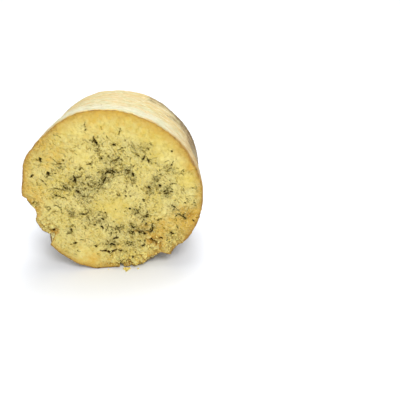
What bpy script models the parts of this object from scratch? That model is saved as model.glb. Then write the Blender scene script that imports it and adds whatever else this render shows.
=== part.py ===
"""Half a drum of blue cheese, cut across and lying on its rind with the cut face forward.

Metres, +Z up. The cut face looks along -Y, and the drum's axis lies along Y. The origin is on the
surface it rests on, under the middle of the half drum. Angles round the drum are in degrees, from +X
towards +Z, as seen from the front.
"""

import math
import random

import bmesh
import bpy
from mathutils import Vector, geometry, noise

NODE_NAME = "blue_cheese_half_drum"

DRUM_RADIUS = 0.0984  # of the round rind, before its swellings
DRUM_DEPTH = 0.116  # from the cut face to the drum's own end
AXIS_HEIGHT = 0.095  # its weight has pressed a flat along the underside
AXIS_X = -0.0009
FACE_Y = -0.0560  # the cut face's plane: its lumps stand further forward
END_EDGE_RADIUS = 0.013  # the rounded edge of the drum's own end
CUT_EDGE_INSET = 0.0007  # the knife leaves the cut edge slightly rounded
END_HOLLOW = 0.0022  # the drum's own end has sunk a little in its middle
WAIST = 0.0009  # the side is drawn in half way along

# Each swelling of the rind: angle and half width in degrees, and height.
RIM_SWELLINGS = (
    (2, 26, 0.0019),
    (107, 13, 0.0014),
    (154, 9, 0.0022),
    (176, 5, 0.0012),
    (226, 9, 0.0012),
    (243, 10, 0.0024),
    (332, 16, 0.0012),
)

# Each bite out of the cut edge: angle and half width in degrees, depth, reach along the rind, and
# the share of the half width that its sides take to come back out.
EDGE_BITES = (
    (197.6, 19.8, 0.0042, 0.034, 0.07),
    (189.5, 8.0, 0.0046, 0.015, 0.85),
    (210.0, 4.5, 0.0034, 0.018, 0.85),
    (213.0, 3.4, 0.0072, 0.014, 0.80),
    (271.2, 2.3, 0.0096, 0.010, 0.70),
    (277.6, 2.4, 0.0018, 0.010, 0.70),
    (283.0, 9.0, 0.0034, 0.012, 0.55),
    (298.0, 11.0, 0.0088, 0.016, 0.55),
    (315.0, 7.0, 0.0024, 0.010, 0.60),
    (24.0, 5.0, 0.0009, 0.006, 0.90),
)

# Each open seam across the cut face: both ends as x and height above the axis, width, and depth.
SEAMS = (
    (-0.019, -0.0708, 0.005, -0.0712, 0.0014, 0.0026),
    (-0.068, -0.0150, -0.044, -0.0245, 0.0018, 0.0022),
    (-0.020, 0.0040, 0.024, 0.0190, 0.0026, 0.0016),
    (0.0392, -0.0570, 0.0448, -0.0626, 0.0032, 0.0054),
    (0.0385, -0.0690, 0.0450, -0.0760, 0.0020, 0.0018),
    (-0.062, 0.0330, -0.040, 0.0150, 0.0022, 0.0014),
    (0.020, -0.0450, 0.036, -0.0470, 0.0028, 0.0022),
)

# Each patch of the cut face that has crumbled away: x and height above the axis of its middle,
# radius, and depth.
CRUMBLED_PATCHES = (
    (0.0108, -0.0872, 0.0048, 0.0050),
    (0.0300, -0.0780, 0.0110, 0.0016),
    (-0.0720, -0.0420, 0.0085, 0.0030),
    (-0.0120, 0.0350, 0.0240, 0.0010),
    (0.0300, -0.0350, 0.0230, 0.0012),
)

# Each lump of curd that stands proud of the cut face: x and height above the axis of its middle,
# radius, and how far it stands out.
LUMPS = (
    (-0.0128, -0.0853, 0.0030, 0.0012),
    (-0.0082, -0.0850, 0.0032, 0.0018),
    (-0.0044, -0.0826, 0.0052, 0.0034),
    (0.0057, -0.0790, 0.0060, 0.0045),
    (0.0152, -0.0824, 0.0034, 0.0028),
    (0.0190, -0.0860, 0.0042, 0.0038),
    (0.0230, -0.0826, 0.0040, 0.0020),
    (0.0266, -0.0848, 0.0036, 0.0019),
    (0.0304, -0.0803, 0.0034, 0.0016),
    (0.0484, -0.0586, 0.0030, 0.0019),
    (0.0402, -0.0655, 0.0034, 0.0024),
    (0.0454, -0.0674, 0.0030, 0.0018),
    (0.0372, -0.0535, 0.0036, 0.0016),
    (-0.0800, -0.0300, 0.0050, 0.0018),
    (-0.0740, -0.0365, 0.0044, 0.0022),
)

BITE_SWAY = 7.0  # degrees that a bite's outline wanders, behind the cut edge
BITE_SWAY_WIDTH = 0.009
BITE_RAGS = 0.6  # how unevenly far a bite reaches along the rind

# Heights and widths of the relief, widest first.
FACE_RELIEF = ((0.0011, 0.034), (0.0006, 0.011))
RIND_RELIEF = ((0.0013, 0.041), (0.0007, 0.015))
FACE_RELIEF_REACH = 0.015  # how far behind the cut face the rind still follows its relief
SEAM_WANDER = 0.0012
SEAM_WANDER_WIDTH = 0.006
PATCH_ROUGHNESS = 0.6
PATCH_ROUGHNESS_WIDTH = 0.005
RELIEF_SEED = Vector((3.1, 7.7, 1.9))
END_SEED = Vector((11.3, 2.4, 5.8))

COLUMN_STEP = 2.6  # degrees between the columns of points round the rind
BITTEN_STEP = 1.15  # and where the cut edge is bitten
RIM_PULL = 6  # a higher power keeps an end's net evener, away from the bites in its rim
SIDE_RINGS = 13  # along the rind, between the cut edge and the rounded edge
EDGE_RINGS = 4  # round the edge of the drum's own end
FACE_SPACING = 0.0041
END_SPACING = 0.0086
JITTER = 0.22  # how far a point of an end's net is moved, in spacings
SEAM_STEP = 0.0038  # between the extra points along a seam
EXTRA_GAP = 0.0010  # between the extra points of seams and lumps
RIM_SHARE = 0.97  # of the face's radius: the extra points are kept inside it
LUMP_RINGS = ((0.55, 6), (0.95, 10), (1.25, 11))  # extra points: share of a lump's radius, and count

PASTE_COLOUR = (0.76, 0.60, 0.20, 1.0)
RIND_COLOUR = (0.80, 0.68, 0.44, 1.0)
CHEESE_ROUGHNESS = 0.55


def smooth_step(low, high, value):
    share = min(1.0, max(0.0, (value - low) / (high - low)))
    return share * share * (3 - 2 * share)


def degrees_between(angle, centre):
    """How far an angle in degrees is from another, the short way round."""
    return abs((angle - centre + 180) % 360 - 180)


def swelling(angle):
    """How far the rind stands proud of the plain drum at this angle."""
    return sum(
        height * math.exp(-((degrees_between(angle, centre) / width) ** 2))
        for centre, width, height in RIM_SWELLINGS
    )


def bite(angle, depth):
    """How much has broken away from the rim at this angle and this far behind the cut face."""
    turn = math.radians(angle)
    place = Vector((math.cos(turn) * DRUM_RADIUS, depth, math.sin(turn) * DRUM_RADIUS)) / BITE_SWAY_WIDTH
    angle += BITE_SWAY * smooth_step(0, 0.012, depth) * noise.noise(place + END_SEED)
    depth *= 1 + BITE_RAGS * noise.noise(place + RELIEF_SEED)
    taken = 0.0
    for centre, width, deep, reach, side in EDGE_BITES:
        narrowed = width * math.sqrt(max(0.0, 1 - (depth / reach) ** 2))
        away = degrees_between(angle, centre)
        if away < narrowed:
            soft = side + (1 - side) * smooth_step(0, reach, depth)
            across = 1 - smooth_step(narrowed * (1 - soft), narrowed, away)
            along = 1 - smooth_step(0.25 * reach, reach, depth)
            taken += deep * across * along
    return taken


def rind_relief(angle, depth):
    turn = math.radians(angle)
    place = Vector((math.cos(turn) * DRUM_RADIUS, depth, math.sin(turn) * DRUM_RADIUS))
    return sum(height * noise.noise(place / width + RELIEF_SEED) for height, width in RIND_RELIEF)


def rim_radius(angle, depth):
    """The drum's radius at this angle and depth, down to the flat that it rests on."""
    waist = WAIST * math.sin(math.pi * depth / DRUM_DEPTH)
    radius = DRUM_RADIUS + swelling(angle) - waist + rind_relief(angle, depth) - bite(angle, depth)
    down = -math.sin(math.radians(angle))
    return min(radius, AXIS_HEIGHT / down) if down > 0 else radius


def seam_depth(x, height):
    """How deep the open seams cut the face at this place."""
    deep = 0.0
    here = Vector((x, height))
    wander = SEAM_WANDER * noise.noise(Vector((x, height, 0)) / SEAM_WANDER_WIDTH + RELIEF_SEED)
    for x0, h0, x1, h1, width, depth in SEAMS:
        start, end = Vector((x0, h0)), Vector((x1, h1))
        _, share = geometry.intersect_point_line(here, start, end)
        nearest = start.lerp(end, min(1.0, max(0.0, share)))
        away = (here - nearest).length + wander
        deep = max(deep, depth * math.exp(-((away / width) ** 2)))
    return deep


def patch_depth(x, height):
    """How far the crumbled patches have sunk the face at this place."""
    deep = 0.0
    rough = 1 + PATCH_ROUGHNESS * noise.noise(Vector((x, height, 0)) / PATCH_ROUGHNESS_WIDTH)
    for middle_x, middle_height, radius, depth in CRUMBLED_PATCHES:
        away = math.hypot(x - middle_x, height - middle_height) / radius
        deep += depth * rough * math.exp(-(away**2))
    return deep


def lump_height(x, height):
    """How far the domed lumps stand proud of the face at this place."""
    tall = 0.0
    rough = 1 + PATCH_ROUGHNESS * noise.noise(Vector((x, height, 9)) / PATCH_ROUGHNESS_WIDTH)
    for middle_x, middle_height, radius, proud in LUMPS:
        away = math.hypot(x - middle_x, height - middle_height) / radius
        if away < 1:
            tall = max(tall, proud * rough * (1 - away**2) ** 0.6)
    return tall


def face_relief(x, height):
    """How far the cut face lies behind its flat plane here. Less than nothing stands proud."""
    place = Vector((x, 0, height))
    waves = sum(tall * noise.noise(place / wide + RELIEF_SEED) for tall, wide in FACE_RELIEF)
    return waves + seam_depth(x, height) + patch_depth(x, height) - lump_height(x, height)


def end_relief(x, height, share):
    """How far the drum's own end lies in front of its flat plane here."""
    place = Vector((x, 0, height))
    waves = sum(tall * noise.noise(place / wide + END_SEED) for tall, wide in RIND_RELIEF)
    hollow = END_HOLLOW * (1 - share * share)
    return hollow + waves * (1 - share**4)


def disc_radius(share, rim):
    """How far out a point of an end's net lies, when the rim at its angle has this radius."""
    return DRUM_RADIUS * share + (rim - DRUM_RADIUS) * share**RIM_PULL


def disc_share(radius, rim):
    """The share of an end's net that lies at this radius."""
    share = radius / rim
    for _ in range(20):
        share = (radius - (rim - DRUM_RADIUS) * share**RIM_PULL) / DRUM_RADIUS
    return share


def column_turns():
    """The angle of each column of points round the rind, closer together where the edge is bitten."""
    turns = []
    angle = 0.0
    while angle < 360 - 0.5 * BITTEN_STEP:
        turns.append(math.radians(angle))
        angle += BITTEN_STEP if bite(angle, 0) > 0 else COLUMN_STEP
    return turns


def stations():
    """The depth and the inset of each ring, from the cut edge to the edge of the drum's own end."""
    side_length = DRUM_DEPTH - END_EDGE_RADIUS
    rings = [(0.0, CUT_EDGE_INSET)]
    rings += [(side_length * ((i + 1) / SIDE_RINGS) ** 1.15, 0.0) for i in range(SIDE_RINGS)]
    for i in range(EDGE_RINGS):
        turn = math.pi / 2 * (i + 1) / EDGE_RINGS
        depth = side_length + END_EDGE_RADIUS * math.sin(turn)
        rings.append((depth, END_EDGE_RADIUS * (1 - math.cos(turn))))
    return rings


def net_points(spacing, seed):
    """Points spread evenly over a disc of radius 1, kept off its rim."""
    draw = random.Random(seed)
    rings = round(DRUM_RADIUS / spacing)
    points = [Vector((0, 0))]
    for ring in range(1, rings):
        count = round(2 * math.pi * ring)
        start = draw.random() * 2 * math.pi
        for i in range(count):
            turn = start + (i + draw.uniform(-JITTER, JITTER)) * 2 * math.pi / count
            radius = (ring + draw.uniform(-JITTER, JITTER)) / rings
            points.append(Vector((radius * math.cos(turn), radius * math.sin(turn))))
    return points


def on_disc(places):
    """Where these places on the cut face lie on the disc of radius 1, without those at its rim."""
    points = []
    for place in places:
        angle = math.degrees(math.atan2(place.y, place.x))
        rim = rim_radius(angle, 0) - CUT_EDGE_INSET
        if place.length < RIM_SHARE * rim:
            points.append(place.normalized() * disc_share(place.length, rim))
    return points


def seam_points():
    """Points along the middle and both banks of each seam, on the cut face."""
    points = []
    for x0, h0, x1, h1, width, _ in SEAMS:
        start = Vector((x0, h0))
        along = Vector((x1, h1)) - start
        bank = along.orthogonal().normalized() * 1.7 * width
        steps = max(2, round(along.length / SEAM_STEP))
        for i in range(steps + 1):
            middle = start + along * i / steps
            points += [middle, middle + bank, middle - bank]
    return points


def lump_points():
    """Points over each lump and round its foot, on the cut face."""
    points = []
    for x, height, radius, _ in LUMPS:
        middle = Vector((x, height))
        points.append(middle)
        for share, count in LUMP_RINGS:
            for i in range(count):
                turn = 2 * math.pi * (i + share) / count
                points.append(middle + share * radius * Vector((math.cos(turn), math.sin(turn))))
    return points


def end_net(rim, inner):
    """Triangles over a disc: the rim's points first, then the inner ones."""
    loop = [(i, (i + 1) % len(rim)) for i in range(len(rim))]
    points, _, faces, *_ = geometry.delaunay_2d_cdt(rim + inner, loop, [], 0, 1e-6)
    return points, faces


def add_end(bm, station, rim, inner):
    """One flat end of the blank, with its rim on the blank's side."""
    points, faces = end_net(rim, inner)
    verts = [bm.verts.new((p.x, station, p.y)) for p in points]
    for face in faces:
        bm.faces.new([verts[i] for i in face])


def clear_of(points, others, gap):
    """The points that are further than gap from all the others."""
    return [p for p in points if all((p - q).length > gap for q in others)]


def blank_drum(ring_count):
    """A plain drum of radius 1. Its Y is the number of the ring, and its ends are nets of triangles."""
    bm = bmesh.new()
    rim = [Vector((math.cos(turn), math.sin(turn))) for turn in column_turns()]
    gap = 0.55 * FACE_SPACING / DRUM_RADIUS
    extra = []
    for point in on_disc(seam_points() + lump_points()):
        extra += clear_of([point], extra, EXTRA_GAP / DRUM_RADIUS)
    add_end(bm, 0, rim, clear_of(net_points(FACE_SPACING, 4), extra, gap) + extra)
    loop = [edge for edge in bm.edges if edge.is_boundary]
    for _ in range(ring_count - 1):
        made = bmesh.ops.extrude_edge_only(bm, edges=loop)["geom"]
        ring = [item for item in made if isinstance(item, bmesh.types.BMVert)]
        bmesh.ops.translate(bm, verts=ring, vec=(0, 1, 0))
        loop = [item for item in made if isinstance(item, bmesh.types.BMEdge) and item.is_boundary]
    add_end(bm, ring_count - 1, rim, net_points(END_SPACING, 9))
    bmesh.ops.remove_doubles(bm, verts=bm.verts, dist=1e-5)
    bmesh.ops.triangulate(bm, faces=bm.faces)
    bmesh.ops.recalc_face_normals(bm, faces=bm.faces)
    return bm


def carve(blank, rings):
    """Where a point of the blank drum lies on the cheese."""
    share = math.hypot(blank.x, blank.z)
    angle = math.degrees(math.atan2(blank.z, blank.x))
    depth, inset = rings[round(blank.y)]
    radius = disc_radius(share, rim_radius(angle, depth) - inset)
    turn = math.radians(angle)
    x = radius * math.cos(turn)
    height = radius * math.sin(turn)
    follow = 1 - smooth_step(0, FACE_RELIEF_REACH, depth)
    depth += follow * face_relief(x, height)
    if round(blank.y) == len(rings) - 1:
        depth -= end_relief(x, height, share)
    return Vector((AXIS_X + x, FACE_Y + depth, AXIS_HEIGHT + height))


def cheese_material(name, colour):
    material = bpy.data.materials.new(name)
    material.use_nodes = True
    shader = material.node_tree.nodes["Principled BSDF"]
    shader.inputs["Base Color"].default_value = colour
    shader.inputs["Roughness"].default_value = CHEESE_ROUGHNESS
    shader.inputs["Metallic"].default_value = 0.0
    return material


def make_cheese(collection):
    rings = stations()
    bm = blank_drum(len(rings))
    paste, rind = 0, 1
    for face in bm.faces:
        face.material_index = paste if all(v.co.y < 0.5 for v in face.verts) else rind
        face.smooth = True
    for vert in bm.verts:
        vert.co = carve(vert.co, rings)
    mesh = bpy.data.meshes.new(NODE_NAME)
    bm.to_mesh(mesh)
    bm.free()
    mesh.materials.append(cheese_material("blue_veined_paste", PASTE_COLOUR))
    mesh.materials.append(cheese_material("pale_rind", RIND_COLOUR))
    mesh.set_sharp_from_angle(angle=math.radians(40))
    cheese = bpy.data.objects.new(NODE_NAME, mesh)
    collection.objects.link(cheese)
    return cheese


def main():
    for old in list(bpy.data.objects):
        bpy.data.objects.remove(old)
    collection = bpy.data.collections.new("blue_cheese")
    bpy.context.scene.collection.children.link(collection)
    make_cheese(collection)


main()
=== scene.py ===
"""Half drum of blue cheese: its cut face with mould veins, its rind, loose crumbs and a plain studio.

Metres, +Z up. The cut face looks along -Y. Angles round the drum are in degrees, from +X towards +Z,
as seen from the front. A place on the cut face is its x and its height from the drum's axis.
"""

import math
import random
from collections import namedtuple

import bmesh
import bpy
from bpy.props import FloatProperty, FloatVectorProperty, IntProperty, PointerProperty
from mathutils import Euler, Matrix, Vector, geometry, kdtree, noise


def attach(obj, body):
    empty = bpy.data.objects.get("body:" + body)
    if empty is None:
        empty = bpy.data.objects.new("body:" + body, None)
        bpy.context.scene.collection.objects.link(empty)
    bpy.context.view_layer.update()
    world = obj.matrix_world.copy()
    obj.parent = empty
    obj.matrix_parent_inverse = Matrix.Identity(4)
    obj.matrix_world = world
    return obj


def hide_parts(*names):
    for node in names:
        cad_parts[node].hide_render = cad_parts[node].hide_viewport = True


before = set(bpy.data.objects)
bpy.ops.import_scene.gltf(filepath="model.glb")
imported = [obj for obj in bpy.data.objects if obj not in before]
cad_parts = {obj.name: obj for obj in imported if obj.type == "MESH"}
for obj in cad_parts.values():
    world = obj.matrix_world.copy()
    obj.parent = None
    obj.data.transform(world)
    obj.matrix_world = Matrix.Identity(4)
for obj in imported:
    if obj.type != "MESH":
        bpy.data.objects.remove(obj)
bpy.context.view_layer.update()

bl_info = {
    "name": "Blue Cheese Half Drum",
    "version": (1, 0, 0),
    "blender": (4, 5, 0),
    "location": "View3D > Sidebar > Blue Cheese",
    "description": "Makes a half drum of blue cheese with veins, rind and crumbs",
    "category": "Add Mesh",
}

NODE = "blue_cheese_half_drum"
BODY = "root"
MM = 0.001

# Each swelling of the rind: angle and half width in degrees, and height.
RIM_SWELLINGS = (
    (2, 26, 0.0019),
    (107, 13, 0.0014),
    (154, 9, 0.0022),
    (176, 5, 0.0012),
    (226, 9, 0.0012),
    (243, 10, 0.0024),
    (332, 16, 0.0012),
)

# Each bite out of the cut edge: angle and half width in degrees, depth, reach along the rind, and
# the share of the half width that its sides take to come back out.
EDGE_BITES = (
    (197.6, 19.8, 0.0042, 0.034, 0.07),
    (189.5, 8.0, 0.0046, 0.015, 0.85),
    (210.0, 4.5, 0.0034, 0.018, 0.85),
    (213.0, 3.4, 0.0072, 0.014, 0.80),
    (271.2, 2.3, 0.0096, 0.010, 0.70),
    (277.6, 2.4, 0.0018, 0.010, 0.70),
    (283.0, 9.0, 0.0034, 0.012, 0.55),
    (298.0, 11.0, 0.0088, 0.016, 0.55),
    (315.0, 7.0, 0.0024, 0.010, 0.60),
    (24.0, 5.0, 0.0009, 0.006, 0.90),
)

# Each open seam across the cut face: both ends as x and height above the axis, width, and depth.
SEAMS = (
    (-0.019, -0.0708, 0.005, -0.0712, 0.0014, 0.0026),
    (-0.068, -0.0150, -0.044, -0.0245, 0.0018, 0.0022),
    (-0.020, 0.0040, 0.024, 0.0190, 0.0026, 0.0016),
    (0.0392, -0.0570, 0.0448, -0.0626, 0.0032, 0.0054),
    (0.0385, -0.0690, 0.0450, -0.0760, 0.0020, 0.0018),
    (-0.062, 0.0330, -0.040, 0.0150, 0.0022, 0.0014),
    (0.020, -0.0450, 0.036, -0.0470, 0.0028, 0.0022),
)

# Each patch of the cut face that has crumbled away: x and height above the axis of its middle,
# radius, and depth.
CRUMBLED_PATCHES = (
    (0.0108, -0.0872, 0.0048, 0.0050),
    (0.0300, -0.0780, 0.0110, 0.0016),
    (-0.0720, -0.0420, 0.0085, 0.0030),
    (-0.0120, 0.0350, 0.0240, 0.0010),
    (0.0300, -0.0350, 0.0230, 0.0012),
)

# Each lump of curd that stands proud of the cut face: x and height above the axis of its middle,
# radius, and how far it stands out.
LUMPS = (
    (-0.0128, -0.0853, 0.0030, 0.0012),
    (-0.0082, -0.0850, 0.0032, 0.0018),
    (-0.0044, -0.0826, 0.0052, 0.0034),
    (0.0057, -0.0790, 0.0060, 0.0045),
    (0.0152, -0.0824, 0.0034, 0.0028),
    (0.0190, -0.0860, 0.0042, 0.0038),
    (0.0230, -0.0826, 0.0040, 0.0020),
    (0.0266, -0.0848, 0.0036, 0.0019),
    (0.0304, -0.0803, 0.0034, 0.0016),
    (0.0484, -0.0586, 0.0030, 0.0019),
    (0.0402, -0.0655, 0.0034, 0.0024),
    (0.0454, -0.0674, 0.0030, 0.0018),
    (0.0372, -0.0535, 0.0036, 0.0016),
    (-0.0800, -0.0300, 0.0050, 0.0018),
    (-0.0740, -0.0365, 0.0044, 0.0022),
)

# Heights and widths of the broad relief, widest first.
FACE_RELIEF = ((0.0011, 0.034), (0.0006, 0.011))
RIND_RELIEF = ((0.0013, 0.041), (0.0007, 0.015))
FACE_RELIEF_REACH = 0.015
BITE_SWAY = 7.0  # degrees that a bite's outline wanders, behind the cut edge
BITE_SWAY_WIDTH = 0.009
BITE_RAGS = 0.6  # how unevenly far a bite reaches along the rind
SEAM_WANDER = 0.0012
SEAM_WANDER_WIDTH = 0.006
SEAM_RAGS = ((0.0007, 0.0024), (0.0004, 0.0012))
SEAM_MIDDLE = 0.62  # how narrow the deep middle of a seam is, as a share of the seam's width
PATCH_ROUGHNESS = 0.6
PATCH_ROUGHNESS_WIDTH = 0.005
RELIEF_SEED = Vector((3.1, 7.7, 1.9))
END_SEED = Vector((11.3, 2.4, 5.8))
LUMP_SWAY = 0.0010
LUMP_SWAY_WIDTH = 0.0042
RIM_PULL = 6  # a higher power keeps an end's net evener, away from the bites in its rim

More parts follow.
